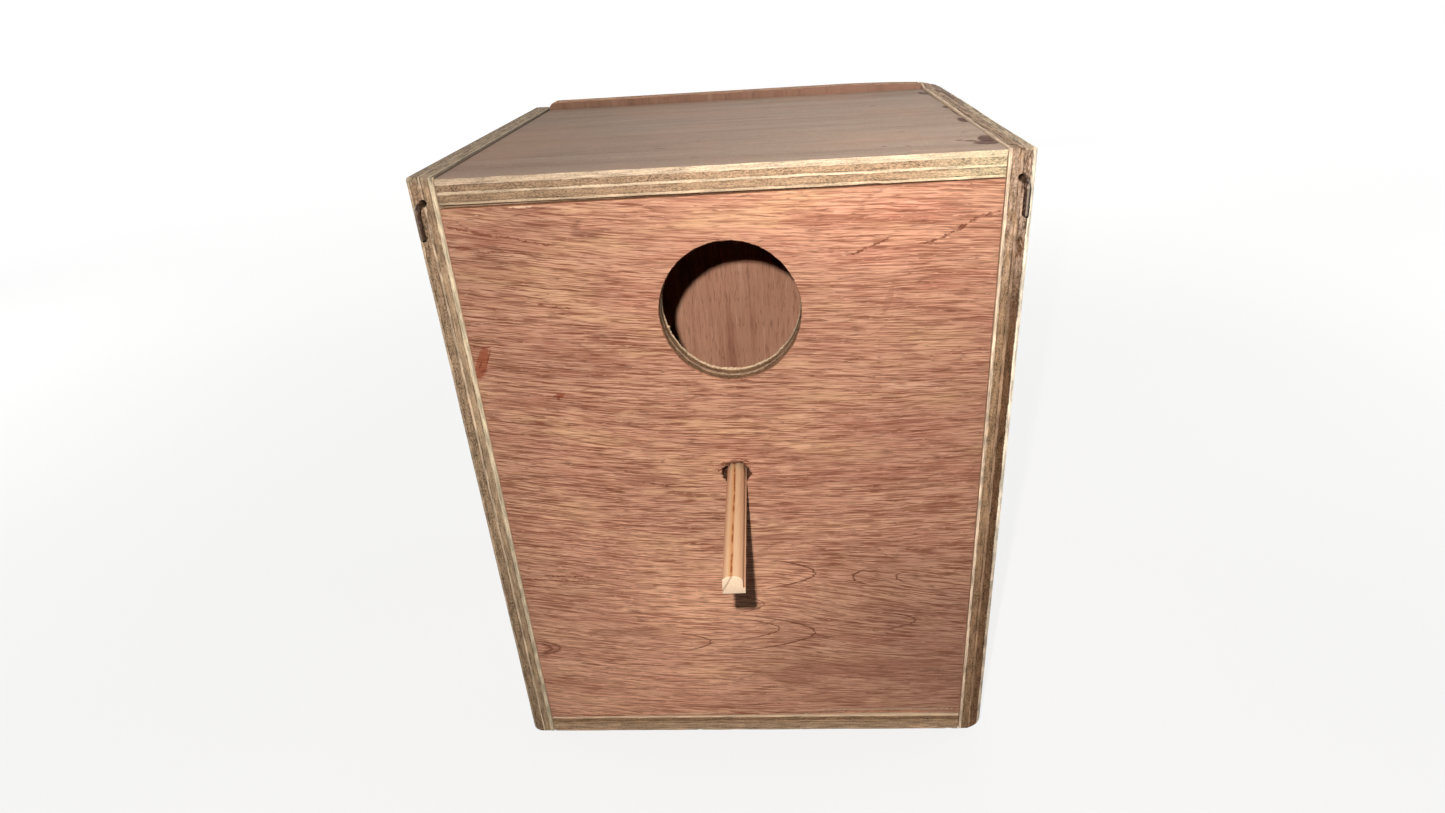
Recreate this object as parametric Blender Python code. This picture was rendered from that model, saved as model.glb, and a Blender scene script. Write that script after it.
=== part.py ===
"""Parakeet nest box: a tall plywood box with a lift-up roof, an entrance hole, a perch and two cage hooks.

The origin is the middle of the box's underside, +Z is up and the front faces -Y. Lengths are in metres.
Every panel is a prism: an outline in X and Z that runs back along Y. The side panels take the whole height
and depth, and the other panels sit between them, nailed through the sides.
"""
from math import cos, hypot, pi, radians, sin, sqrt

import bmesh
import bpy
from mathutils import Matrix, Vector

# The box
BOX_WIDTH = 0.200
BOX_DEPTH = 0.158
BOX_HEIGHT = 0.255
PLY = 0.0087
FIT_GAP = 0.0003
EDGE_EASE = 0.0004
CUT_OVERRUN = 0.002

# Side panels: the outer bottom edges are sanded round by hand, the right one more than the left
LEFT_BOTTOM_RADIUS = 0.0035
RIGHT_BOTTOM_RADIUS = 0.0070
SIDE_TOP_RADIUS = 0.0012

# Front panel: its ends are cut a little out of square, so both gaps above and below it are wedges
FRONT_OUT_OF_SQUARE = 0.0010
FRONT_RIGHT_GAP = 0.0005

# Entrance hole, cut by hand and slightly oval
ENTRANCE_WIDTH = 0.0487
ENTRANCE_HEIGHT = 0.0514
ENTRANCE_OFFSET = 0.0020
ENTRANCE_FROM_TOP = 0.0510

# Back panel: it stands above the roof, with a rounded top corner on the left and a long worn one on the right
BACK_PROUD = 0.003
BACK_CORNER_RADIUS = 0.003
BACK_WORN_WIDTH = 0.018
BACK_WORN_HEIGHT = 0.005
BACK_SIDE_GAP = 0.0005

# Roof lid, which turns on two nails near its rear edge
LID_DROP = 0.0003
LID_LEFT_GAP = 0.0010
LID_RIGHT_GAP = 0.0004
LID_PIVOT_SETBACK = 0.009

# Perch: a planed moulding with a domed top and a low lip along its right side
PERCH_WIDTH = 0.0072
PERCH_HEIGHT = 0.0068
PERCH_SHOULDER = 0.0048
PERCH_LIP_WIDTH = 0.0007
PERCH_LIP_HEIGHT = 0.0022
PERCH_REACH = 0.0606
PERCH_INSIDE = 0.004
PERCH_TURN = radians(1.0)
PERCH_HOLE_RADIUS = 0.0052
PERCH_BELOW_ENTRANCE = 0.0654
PERCH_HOLE_OFFSET = 0.0006

# Cage hooks, of steel wire, driven into the front edges of the side panels
HOOK_WIRE_RADIUS = 0.00105
LEFT_HOOK_FROM_TOP = 0.0080
RIGHT_HOOK_FROM_TOP = 0.0093
HOOK_FROM_SIDE = 0.0039
HOOK_REACH = 0.0055
HOOK_BEND_RADIUS = 0.0025
HOOK_LEG = 0.0107
HOOK_EMBED = 0.014
HOOK_TIP_EASE = 0.0003
HOOK_TIP_RADIUS_SHARE = 0.75

# Nails: the same flat-headed nail everywhere, punched a little below the surface
NAIL_LENGTH = 0.025
NAIL_SINK = 0.0004
NAIL_RADIUS = 0.0008
NAIL_HEAD_RADIUS = 0.0018
NAIL_HEAD_DEPTH = 0.0008
NAIL_POINT = 0.0025
UPRIGHT_NAIL_SHARES = (0.14, 0.50, 0.84)
FLOOR_NAIL_SHARES = (0.22, 0.74)
FLOOR_NAIL_HEIGHT_SHARE = 0.62

# Nest block: a loose board on the floor with a round hollow for the eggs
BLOCK_THICKNESS = 0.020
DISH_RADIUS = 0.055
DISH_DEPTH = 0.012
DISH_SETBACK = 0.010

# Roundness
SMOOTH_LIMIT = radians(35)
CORNER_STEPS = 7
ENTRANCE_SIDES = 96
PERCH_HOLE_SIDES = 48
PERCH_DOME_STEPS = 14
DISH_SIDES = 56
DISH_STEPS = 7
NAIL_SIDES = 12
HOOK_BEND_STEPS = 7
HOOK_RESOLUTION = 4

# Places worked out from the sizes above
ENTRANCE_Z = BOX_HEIGHT - ENTRANCE_FROM_TOP
PERCH_HOLE_Z = ENTRANCE_Z - PERCH_BELOW_ENTRANCE
INNER_WIDTH = BOX_WIDTH - 2 * PLY
FRONT_Y = -BOX_DEPTH / 2
BACK_Y = BOX_DEPTH / 2
BACK_FACE_Y = BACK_Y - PLY
LID_TOP = BOX_HEIGHT - LID_DROP
LID_UNDERSIDE = LID_TOP - PLY
LID_REAR_SWING = hypot(LID_PIVOT_SETBACK, PLY / 2)
LID_PIVOT_Y = BACK_FACE_Y - FIT_GAP - LID_REAR_SWING
LID_PIVOT_Z = LID_TOP - PLY / 2
LID_REAR_Y = LID_PIVOT_Y + LID_PIVOT_SETBACK


def clear_scene():
    """Start from an empty scene."""
    for item in list(bpy.data.objects):
        bpy.data.objects.remove(item, do_unlink=True)


def make_material(name, color, roughness, metallic=0.0):
    """A plain Principled material."""
    material = bpy.data.materials.new(name)
    material.use_nodes = True
    shader = material.node_tree.nodes["Principled BSDF"]
    shader.inputs["Base Color"].default_value = (*color, 1.0)
    shader.inputs["Roughness"].default_value = roughness
    shader.inputs["Metallic"].default_value = metallic
    return material


def make_empty(name, location, parent=None):
    """A marker that other objects hang from."""
    empty = bpy.data.objects.new(name, None)
    empty.location = location
    empty.parent = parent
    bpy.context.scene.collection.objects.link(empty)
    return empty


def make_object(name, bm, material, location, parent):
    """Turn a bmesh into a smooth-shaded object and free the bmesh."""
    bmesh.ops.recalc_face_normals(bm, faces=bm.faces)
    mesh = bpy.data.meshes.new(name)
    bm.to_mesh(mesh)
    bm.free()
    mesh.shade_smooth()
    mesh.set_sharp_from_angle(angle=SMOOTH_LIMIT)
    if material:
        mesh.materials.append(material)
    item = bpy.data.objects.new(name, mesh)
    item.location = location
    item.parent = parent
    bpy.context.scene.collection.objects.link(item)
    return item


def make_cutter(name, bm, location, parent):
    """A closed shape that only cuts: hidden from renders and drawn as wire."""
    cutter = make_object(name, bm, None, location, parent)
    cutter.hide_render = True
    cutter.display_type = "WIRE"
    return cutter


def cut(target, cutters):
    """Take each cutter out of the target."""
    for cutter in cutters:
        modifier = target.modifiers.new(cutter.name, "BOOLEAN")
        modifier.operation = "DIFFERENCE"
        modifier.solver = "EXACT"
        modifier.object = cutter


def rounded_corner(x, z, radius, start_angle, x_side, z_side):
    """The points of one corner, anticlockwise: a quarter circle, or the bare corner for no radius."""
    if radius == 0:
        return [(x, z)]
    centre_x = x - x_side * radius
    centre_z = z - z_side * radius
    points = []
    for step in range(CORNER_STEPS + 1):
        angle = start_angle + pi / 2 * step / CORNER_STEPS
        points.append((centre_x + radius * cos(angle), centre_z + radius * sin(angle)))
    return points


def rounded_outline(left, right, bottom, top, bottom_left=0, bottom_right=0, top_right=0, top_left=0):
    """A rectangle in X and Z, anticlockwise from its bottom left, with a radius for each corner."""
    return (
        rounded_corner(left, bottom, bottom_left, pi, -1, -1)
        + rounded_corner(right, bottom, bottom_right, 3 * pi / 2, 1, -1)
        + rounded_corner(right, top, top_right, 0, 1, 1)
        + rounded_corner(left, top, top_left, pi / 2, -1, 1)
    )


def prism(outline, depth):
    """A closed prism whose outline lies in X and Z and runs back along +Y."""
    bm = bmesh.new()
    near = [bm.verts.new((x, 0, z)) for x, z in outline]
    far = [bm.verts.new((x, depth, z)) for x, z in outline]
    bm.faces.new(near)
    bm.faces.new(list(reversed(far)))
    for index in range(len(outline)):
        following = (index + 1) % len(outline)
        bm.faces.new((near[index], near[following], far[following], far[index]))
    bmesh.ops.recalc_face_normals(bm, faces=bm.faces)
    return bm


def ease_edges(bm):
    """Sand every sharp edge to a narrow flat."""
    sharp = [edge for edge in bm.edges if edge.calc_face_angle(0) > pi / 4]
    bmesh.ops.bevel(bm, geom=sharp, offset=EDGE_EASE, segments=1, profile=0.5, affect="EDGES")


def make_panel(name, outline, depth, material, location, parent):
    """A plywood panel with eased edges."""
    bm = prism(outline, depth)
    ease_edges(bm)
    return make_object(name, bm, material, location, parent)


def add_turned(bm, profile, sides, place=Matrix()):
    """Turn (radius, distance) pairs about Z; a radius of zero closes that end at a point."""
    rings = []
    for radius, distance in profile:
        angles = [2 * pi * index / sides for index in range(sides if radius else 1)]
        points = [Vector((radius * cos(angle), radius * sin(angle), distance)) for angle in angles]
        rings.append([bm.verts.new(place @ point) for point in points])
    for first, second in zip(rings, rings[1:]):
        for index in range(sides):
            following = (index + 1) % sides
            corners = [first[index % len(first)], first[following % len(first)]]
            corners += [second[following % len(second)], second[index % len(second)]]
            bm.faces.new(dict.fromkeys(corners))


def nail_profile(clearance=0, overrun=0):
    """A nail from the face of its head to its point, or its hole when given a clearance."""
    head = NAIL_HEAD_RADIUS + clearance
    shank = NAIL_RADIUS + clearance
    under_head = NAIL_HEAD_DEPTH + clearance
    return (
        (0, -overrun),
        (head, -overrun),
        (head, under_head),
        (shank, under_head),
        (shank, NAIL_LENGTH - NAIL_POINT + clearance),
        (0, NAIL_LENGTH + clearance),
    )


def make_nail_mesh(material):
    """The mesh that every nail shares, pointing along +Z from the face of its head."""
    bm = bmesh.new()
    add_turned(bm, nail_profile(), NAIL_SIDES)
    bmesh.ops.recalc_face_normals(bm, faces=bm.faces)
    mesh = bpy.data.meshes.new("nail")
    bm.to_mesh(mesh)
    bm.free()
    mesh.shade_smooth()
    mesh.set_sharp_from_angle(angle=SMOOTH_LIMIT)
    mesh.materials.append(material)
    return mesh


def drive_nails(name, side, places, mesh, parent):
    """Nails through one side panel at the given (y, z) places, and one cutter for their holes."""
    holes = bmesh.new()
    head_x = side * (BOX_WIDTH / 2 - NAIL_SINK)
    turn = -side * pi / 2
    for number, (y, z) in enumerate(places, 1):
        nail = bpy.data.objects.new(f"{name}_{number}" if len(places) > 1 else name, mesh)
        nail.location = (head_x, y, z)
        nail.rotation_euler.y = turn
        nail.parent = parent
        bpy.context.scene.collection.objects.link(nail)
        spot = Matrix.Translation((0, y, z)) @ Matrix.Rotation(turn, 4, "Y")
        add_turned(holes, nail_profile(FIT_GAP, CUT_OVERRUN), NAIL_SIDES, spot)
    return make_cutter(name + "_hole", holes, (head_x, 0, 0), parent)


def make_side_panel(name, side, bottom_radius, material, parent):
    """A side panel, on the left for side -1 and on the right for side 1."""
    top_radius = SIDE_TOP_RADIUS
    if side < 0:
        outline = rounded_outline(-PLY, 0, 0, BOX_HEIGHT, bottom_left=bottom_radius, top_left=top_radius)
    else:
        outline = rounded_outline(0, PLY, 0, BOX_HEIGHT, bottom_right=bottom_radius, top_right=top_radius)
    location = (side * INNER_WIDTH / 2, FRONT_Y, 0)
    return make_panel(name, outline, BOX_DEPTH, material, location, parent)


def make_floor_panel(material, parent):
    """The floor, whose front edge shows under the front panel."""
    half = INNER_WIDTH / 2 - FIT_GAP
    outline = rounded_outline(-half, half, 0, PLY)
    depth = BACK_FACE_Y - FIT_GAP - FRONT_Y
    return make_panel("floor_panel", outline, depth, material, (0, FRONT_Y, 0), parent)


def make_front_panel(material, parent):
    """The front panel, between the floor, the roof and the sides, with wedge-shaped gaps."""
    left = -INNER_WIDTH / 2 + FIT_GAP
    right = INNER_WIDTH / 2 - FRONT_RIGHT_GAP
    bottom = PLY + FIT_GAP
    top = LID_UNDERSIDE - FIT_GAP
    outline = (
        (left, bottom),
        (right, bottom + FRONT_OUT_OF_SQUARE),
        (right, top),
        (left, top - FRONT_OUT_OF_SQUARE),
    )
    return make_panel("front_panel", outline, PLY, material, (0, FRONT_Y, 0), parent)


def make_back_panel(material, parent):
    """The back panel, full height and a little taller than the roof."""
    half = INNER_WIDTH / 2 - BACK_SIDE_GAP
    top = BOX_HEIGHT + BACK_PROUD
    outline = [(-half, 0), (half, 0)]
    for step in range(CORNER_STEPS + 1):
        angle = pi / 2 * step / CORNER_STEPS
        x = half - BACK_WORN_WIDTH * (1 - cos(angle))
        outline.append((x, top - BACK_WORN_HEIGHT * (1 - sin(angle))))
    outline += rounded_corner(-half, top, BACK_CORNER_RADIUS, pi / 2, -1, 1)
    return make_panel("back_panel", outline, PLY, material, (0, BACK_FACE_Y, 0), parent)


def make_lid(material, axis):
    """The roof lid, placed from the axis that it turns on."""
    left = -INNER_WIDTH / 2 + LID_LEFT_GAP
    right = INNER_WIDTH / 2 - LID_RIGHT_GAP
    outline = rounded_outline(left, right, -PLY / 2, PLY / 2)
    location = (0, FRONT_Y - LID_PIVOT_Y, 0)
    return make_panel("roof_lid", outline, LID_REAR_Y - FRONT_Y, material, location, axis)


def make_entrance_cutter(parent):
    """The oval cutter of the entrance hole."""
    bm = bmesh.new()
    reach = PLY + 2 * CUT_OVERRUN
    add_turned(bm, ((0, 0), (1, 0), (1, reach), (0, reach)), ENTRANCE_SIDES)
    stretch = Matrix.Diagonal((ENTRANCE_WIDTH / 2, ENTRANCE_HEIGHT / 2, 1, 1))
    bmesh.ops.transform(bm, matrix=Matrix.Rotation(-pi / 2, 4, "X") @ stretch, verts=bm.verts)
    location = (ENTRANCE_OFFSET, FRONT_Y - CUT_OVERRUN, ENTRANCE_Z)
    return make_cutter("entrance_hole", bm, location, parent)


def make_round_cutter(name, radius, depth, sides, location, parent):
    """A round cutter that starts in front of a front face and runs back to a depth behind it."""
    bm = bmesh.new()
    profile = ((0, -CUT_OVERRUN), (radius, -CUT_OVERRUN), (radius, depth), (0, depth))
    add_turned(bm, profile, sides, Matrix.Rotation(-pi / 2, 4, "X"))
    return make_cutter(name, bm, location, parent)


def perch_outline():
    """The perch's section: flat below, a low lip on the right and a domed top."""
    half = PERCH_WIDTH / 2
    shoulder_x = half - PERCH_LIP_WIDTH
    centre_x = -PERCH_LIP_WIDTH / 2
    dome_width = shoulder_x - centre_x
    dome_height = PERCH_HEIGHT - PERCH_SHOULDER
    points = [(-half, 0), (half, 0), (half, PERCH_LIP_HEIGHT), (shoulder_x, PERCH_LIP_HEIGHT)]
    for step in range(PERCH_DOME_STEPS + 1):
        angle = pi * step / PERCH_DOME_STEPS
        points.append((centre_x + dome_width * cos(angle), PERCH_SHOULDER + dome_height * sin(angle)))
    return points


def make_perch(material, parent):
    """The perch lies in its round hole on the two lower corners of its section."""
    corner_radius = PERCH_HOLE_RADIUS - FIT_GAP
    underside = -sqrt(corner_radius ** 2 - (PERCH_WIDTH / 2) ** 2)
    outline = [(x, underside + z) for x, z in perch_outline()]
    bm = prism(outline, PERCH_REACH + PLY + PERCH_INSIDE)
    bmesh.ops.translate(bm, verts=bm.verts, vec=(0, -PERCH_REACH - PLY / 2, 0))
    location = (PERCH_HOLE_OFFSET, FRONT_Y + PLY / 2, PERCH_HOLE_Z)
    perch = make_object("perch", bm, material, location, parent)
    perch.rotation_euler.z = PERCH_TURN


def hook_points():
    """The wire's centre line from inside the wood, forward, round the bend and down the leg."""
    bend_start = -HOOK_REACH + HOOK_BEND_RADIUS
    points = [(HOOK_EMBED, 0, 1)]
    for step in range(HOOK_BEND_STEPS + 1):
        angle = pi / 2 * step / HOOK_BEND_STEPS
        y = bend_start - HOOK_BEND_RADIUS * sin(angle)
        points.append((y, HOOK_BEND_RADIUS * (cos(angle) - 1), 1))
    points.append((-HOOK_REACH, HOOK_TIP_EASE - HOOK_LEG, 1))
    points.append((-HOOK_REACH, -HOOK_LEG, HOOK_TIP_RADIUS_SHARE))
    return points


def make_hook(name, side, from_top, material, parent):
    """One wire hook and the cutter for its hole in the side panel's front edge."""
    points = hook_points()
    curve = bpy.data.curves.new(name, "CURVE")
    curve.dimensions = "3D"
    curve.bevel_depth = HOOK_WIRE_RADIUS
    curve.bevel_resolution = HOOK_RESOLUTION
    curve.use_fill_caps = True
    spline = curve.splines.new("POLY")
    spline.points.add(len(points) - 1)
    for point, (y, z, share) in zip(spline.points, points):
        point.co = (0, y, z, 1)
        point.radius = share
    curve.materials.append(material)
    hook = bpy.data.objects.new(name, curve)
    hook.location = (side * (BOX_WIDTH / 2 - HOOK_FROM_SIDE), FRONT_Y, BOX_HEIGHT - from_top)
    hook.parent = parent
    bpy.context.scene.collection.objects.link(hook)
    return make_round_cutter(
        name + "_hole", HOOK_WIRE_RADIUS + FIT_GAP, HOOK_EMBED + FIT_GAP, NAIL_SIDES, hook.location, parent
    )


def make_dish_cutter(parent):
    """A shallow round hollow, part of a ball, in the nest block's top."""
    ball_radius = (DISH_RADIUS ** 2 + DISH_DEPTH ** 2) / (2 * DISH_DEPTH)
    centre_height = ball_radius - DISH_DEPTH
    profile = [(0, -DISH_DEPTH)]
    for step in range(1, DISH_STEPS + 1):
        radius = DISH_RADIUS * step / DISH_STEPS
        profile.append((radius, centre_height - sqrt(ball_radius ** 2 - radius ** 2)))
    profile += [(DISH_RADIUS, CUT_OVERRUN), (0, CUT_OVERRUN)]
    bm = bmesh.new()
    add_turned(bm, profile, DISH_SIDES)
    location = (0, DISH_SETBACK, PLY + FIT_GAP + BLOCK_THICKNESS)
    return make_cutter("dish_hollow", bm, location, parent)


def make_nest_block(material, parent):
    """The loose board that covers the floor inside the box."""
    half = INNER_WIDTH / 2 - FIT_GAP
    front = FRONT_Y + PLY + FIT_GAP
    outline = rounded_outline(-half, half, 0, BLOCK_THICKNESS)
    depth = BACK_FACE_Y - FIT_GAP - front
    return make_panel("nest_block", outline, depth, material, (0, front, PLY + FIT_GAP), parent)


def make_nails(steel, parent):
    """Every nail, a row for each seam. Returns the hole cutters by side and seam."""
    mesh = make_nail_mesh(steel)
    upright = [share * BOX_HEIGHT for share in UPRIGHT_NAIL_SHARES]
    floor_z = FLOOR_NAIL_HEIGHT_SHARE * PLY
    rows = {
        "front_nail": [(FRONT_Y + PLY / 2, z) for z in upright],
        "back_nail": [(BACK_Y - PLY / 2, z) for z in upright],
        "floor_nail": [(FRONT_Y + share * BOX_DEPTH, floor_z) for share in FLOOR_NAIL_SHARES],
        "lid_pivot_nail": [(LID_PIVOT_Y, LID_PIVOT_Z)],
    }
    holes = {}
    for side_name, side in (("left", -1), ("right", 1)):
        for row_name, places in rows.items():
            holes[side_name, row_name] = drive_nails(f"{side_name}_{row_name}", side, places, mesh, parent)
    return holes


def build():
    """Make the whole nest box."""
    clear_scene()
    face_veneer = make_material("face_veneer", (0.53, 0.27, 0.18), 0.7)
    side_ply = make_material("side_ply", (0.42, 0.30, 0.20), 0.75)
    weathered_ply = make_material("weathered_ply", (0.29, 0.21, 0.17), 0.8)
    block_wood = make_material("block_wood", (0.56, 0.40, 0.24), 0.7)
    perch_wood = make_material("perch_wood", (0.76, 0.56, 0.34), 0.55)
    dark_wire = make_material("dark_wire", (0.10, 0.06, 0.045), 0.4, 0.8)
    nail_steel = make_material("nail_steel", (0.40, 0.39, 0.38), 0.35, 1.0)

    box = make_empty("nest_box", (0, 0, 0))
    lid_axis = make_empty("lid_hinge_axis", (0, LID_PIVOT_Y, LID_PIVOT_Z), box)

    holes = make_nails(nail_steel, box)
    left_hook_hole = make_hook("left_hook", -1, LEFT_HOOK_FROM_TOP, dark_wire, box)
    right_hook_hole = make_hook("right_hook", 1, RIGHT_HOOK_FROM_TOP, dark_wire, box)

    left = make_side_panel("left_side_panel", -1, LEFT_BOTTOM_RADIUS, side_ply, box)
    right = make_side_panel("right_side_panel", 1, RIGHT_BOTTOM_RADIUS, side_ply, box)
    cut(left, [cutter for (side, _), cutter in holes.items() if side == "left"] + [left_hook_hole])
    cut(right, [cutter for (side, _), cutter in holes.items() if side == "right"] + [right_hook_hole])

    floor = make_floor_panel(side_ply, box)
    cut(floor, [holes["left", "floor_nail"], holes["right", "floor_nail"]])

    front = make_front_panel(face_veneer, box)
    perch_hole = make_round_cutter(
        "perch_hole", PERCH_HOLE_RADIUS, PLY + CUT_OVERRUN, PERCH_HOLE_SIDES,
        (PERCH_HOLE_OFFSET, FRONT_Y, PERCH_HOLE_Z), box,
    )
    cut(front, [make_entrance_cutter(box), perch_hole])
    cut(front, [holes["left", "front_nail"], holes["right", "front_nail"]])

    back = make_back_panel(face_veneer, box)
    cut(back, [holes["left", "back_nail"], holes["right", "back_nail"]])

    lid = make_lid(weathered_ply, lid_axis)
    cut(lid, [holes["left", "lid_pivot_nail"], holes["right", "lid_pivot_nail"]])

    block = make_nest_block(block_wood, box)
    cut(block, [make_dish_cutter(box)])

    make_perch(perch_wood, box)


build()
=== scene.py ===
"""Looks of the parakeet nest box: plywood boards with real ply edges, a worn roof, a perch and wire hooks.

Each board is remade at the size that the frame gives it, with fine edges, ply relief, torn veneer and nail
pockets. The thickness of a board runs along X on the sides, along Z on the roof and floor, and along Y on the
front and back.
"""
from dataclasses import dataclass, field
from math import atan2, cos, hypot, pi, radians, sin, sqrt

import bmesh
import bpy
import numpy as np
from mathutils import Matrix, Vector


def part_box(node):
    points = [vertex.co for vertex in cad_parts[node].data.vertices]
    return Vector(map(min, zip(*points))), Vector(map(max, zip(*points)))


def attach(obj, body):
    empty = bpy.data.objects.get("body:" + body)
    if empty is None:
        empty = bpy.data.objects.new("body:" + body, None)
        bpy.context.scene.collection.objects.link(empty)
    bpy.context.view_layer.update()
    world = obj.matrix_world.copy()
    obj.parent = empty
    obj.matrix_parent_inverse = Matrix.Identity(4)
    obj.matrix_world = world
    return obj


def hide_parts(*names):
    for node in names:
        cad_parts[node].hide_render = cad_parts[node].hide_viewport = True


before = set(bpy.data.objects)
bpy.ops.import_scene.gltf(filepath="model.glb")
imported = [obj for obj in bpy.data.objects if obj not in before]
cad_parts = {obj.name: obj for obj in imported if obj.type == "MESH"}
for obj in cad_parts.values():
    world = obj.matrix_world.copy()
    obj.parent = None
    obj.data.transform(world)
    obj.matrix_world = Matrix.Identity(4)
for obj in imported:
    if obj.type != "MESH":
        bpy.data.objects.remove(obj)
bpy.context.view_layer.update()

NODES = {name: [np.array(corner, float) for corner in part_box(name)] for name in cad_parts}
MM = 0.001
WHITE = (1.0, 1.0, 1.0, 1.0)

# The photograph's camera, in the frame's own axes
CAMERA_PLACE = Vector((0.018816, -0.325793, 0.306387))
CAMERA_RIGHT = Vector((0.997225, 0.042515, -0.061112))
CAMERA_DOWN = Vector((-0.037451, -0.422958, -0.905375))
CAMERA_FORWARD = Vector((-0.064340, 0.905152, -0.420192))
SENSOR_WIDTH_MM = 36.0
LENS_MM = 19.479
SHIFT_X = -0.0052
SHIFT_Y = -0.0423

# Lights
LAMP_PLACE = Vector((0.005, -0.318, 0.324))
LAMP_AIM = Vector((0.010, -0.079, 0.150))
KEY_POWER = 1.0
KEY_RADIUS = 2.6 * MM
KEY_COLOUR = (1.0, 0.97, 0.93)
KEY_FALLOFF_STRENGTH = 13.5
WORLD_LEVEL = 0.016
WORLD_COLOUR = (1.0, 0.84, 0.60, 1.0)
SOFT_COLOUR = (1.0, 1.0, 1.0)
SOFT_LIGHTS = (
    ("overhead_soft", (0.35, 0.10, 0.95), (0.0, 0.0, 0.2), 0.7, 1.6),
    ("left_soft", (-0.95, 0.15, 0.45), (0.0, 0.0, 0.12), 0.7, 5.5),
    ("right_soft", (0.95, 0.15, 0.45), (0.0, 0.0, 0.12), 0.7, 5.5),
    ("rear_soft", (0.1, 1.1, 0.40), (0.0, 0.0, 0.12), 0.8, 7.0),
)
FLOOR_SIZE = 30.0
FLOOR_COLOUR = (0.11, 0.108, 0.105, 1.0)
FLOOR_COLOUR_DIM = (0.10, 0.098, 0.095, 1.0)
FLOOR_GLOW = 0.80

# Board grids
EDGE_OFFSETS = (0.0, 0.12 * MM, 0.30 * MM, 0.60 * MM)
GLUE_OFFSETS = (-0.09 * MM, 0.0, 0.09 * MM)
LEAST_GRID_GAP = 0.05 * MM
PLY_STEP = 0.6 * MM
SMOOTH_LIMIT = radians(50)
FINE_SMOOTH_LIMIT = radians(40)

# How ragged a turned form's surface is, as (sides to a bump, height of a bump in millimetres)
RAGGED_SPACINGS = ((9, 0.6), (3, 0.4))

# Ply edges and wear
EDGE_WEAR = 0.35 * MM
GLUE_SINK = 0.10 * MM
GLUE_WIDTH = 0.12 * MM
ROUGH_SINK = 0.16 * MM
STREAK_SINK = 0.05 * MM
PIT_SINK = 0.28 * MM
NICK_SINK = 0.30 * MM
VENEER_DEPTH = 0.25 * MM

# Sockets of a mix node for the share and the two colours
MIX_INPUTS = (0, 6, 7)


def lattice(x, y, z, seed):
    """A repeatable random value from 0 to 1 at whole-numbered points."""
    code = x * 374761393 + y * 668265263 + z * 2147483587 + seed * 1274126177
    code = code.astype(np.uint32)
    code = (code ^ (code >> 13)) * np.uint32(1274126177)
    code = (code ^ (code >> 16)) * np.uint32(2246822519)
    return ((code ^ (code >> 15)) & np.uint32(0xFFFFFF)) / float(0xFFFFFF)


def value_noise(x, y, z=0.0, seed=0):
    """Smooth noise from 0 to 1 over arrays of coordinates, with one bump to each unit."""
    x, y, z = np.broadcast_arrays(np.asarray(x, float), np.asarray(y, float), np.asarray(z, float))
    whole = [np.floor(part).astype(np.int64) for part in (x, y, z)]
    part = [value - base for value, base in zip((x, y, z), whole)]
    ease = [value * value * (3 - 2 * value) for value in part]
    total = np.zeros(x.shape)
    for dx in (0, 1):
        for dy in (0, 1):
            for dz in (0, 1):
                weight = (
                    (ease[0] if dx else 1 - ease[0])
                    * (ease[1] if dy else 1 - ease[1])
                    * (ease[2] if dz else 1 - ease[2])
                )
                total += weight * lattice(whole[0] + dx, whole[1] + dy, whole[2] + dz, seed)
    return total


def bumps(place, sizes, seed):
    """The same over a place in metres, with bumps of these sizes in millimetres."""
    return value_noise(*[value / (size * MM) for value, size in zip(place, sizes)], seed)


def smooth_step(low, high, value):
    """From 0 at low to 1 at high, with soft ends."""
    share = np.clip((value - low) / (high - low), 0, 1)
    return share * share * (3 - 2 * share)


def tone(red, green, blue):
    """A colour given in screen values from 0 to 255, as a shader's linear colour."""
    shares = [value / 255 for value in (red, green, blue)]
    linear = [share / 12.92 if share <= 0.04045 else ((share + 0.055) / 1.055) ** 2.4 for share in shares]
    return (*linear, 1.0)


# Sizes that the boards' cuts share with their nodes
CUT_OVERRUN = 2.0 * MM
FRONT_OUT_OF_SQUARE = 1.0 * MM
FRONT_SPREAD = (0.10 * MM, 0.10 * MM, 0.26 * MM)
ROOF_SPREAD = (0.66 * MM, 0.15 * MM, 0.28 * MM)
ENTRANCE_WIDTH = 48.7 * MM
ENTRANCE_HEIGHT = 51.4 * MM
ENTRANCE_X = 2.0 * MM
ENTRANCE_Z = 204.0 * MM
PERCH_HOLE_RADIUS = 5.2 * MM
PERCH_HOLE_X = 0.6 * MM
PERCH_HOLE_Z = 138.6 * MM
PERCH_HOLE_SHIFT = 0.3 * MM
FRONT_MIDDLE_Y = -74.65 * MM
LEFT_SIDE_RADII = (3.5 * MM, 0.3 * MM, 1.2 * MM, 0.3 * MM)
RIGHT_SIDE_RADII = (0.3 * MM, 7.0 * MM, 0.3 * MM, 1.2 * MM)
SMALL_RADII = (0.3 * MM,) * 4
BACK_RADII = (0.3 * MM, 0.3 * MM, 3.0 * MM, 0.3 * MM)
BACK_WORN_WIDTH = 40.0 * MM
BACK_WORN_HEIGHT = 1.2 * MM
REAR_RISE = 1.4 * MM
REAR_TOP_RISE = 0.5 * MM
LEFT_RISE = (1.0 * MM, 0.4 * MM)
LEFT_RISE_FALL = 0.65
NAIL_LENGTH = 25.0 * MM
NAIL_SINK = 0.4 * MM
NAIL_RADIUS = 0.8 * MM
NAIL_HEAD_RADIUS = 1.8 * MM
NAIL_HEAD_DEPTH = 0.8 * MM
NAIL_POINT = 2.5 * MM
NAIL_POCKET = 2.1 * MM
NAIL_HOLE = 1.05 * MM
HOOK_RADIUS = 1.05 * MM
WIRE_RADIUS = 0.88 * MM
HOOK_BEND = 2.5 * MM
TORN_PLY = 0.9 * MM
PERCH_EDGE = 0.22 * MM
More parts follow.
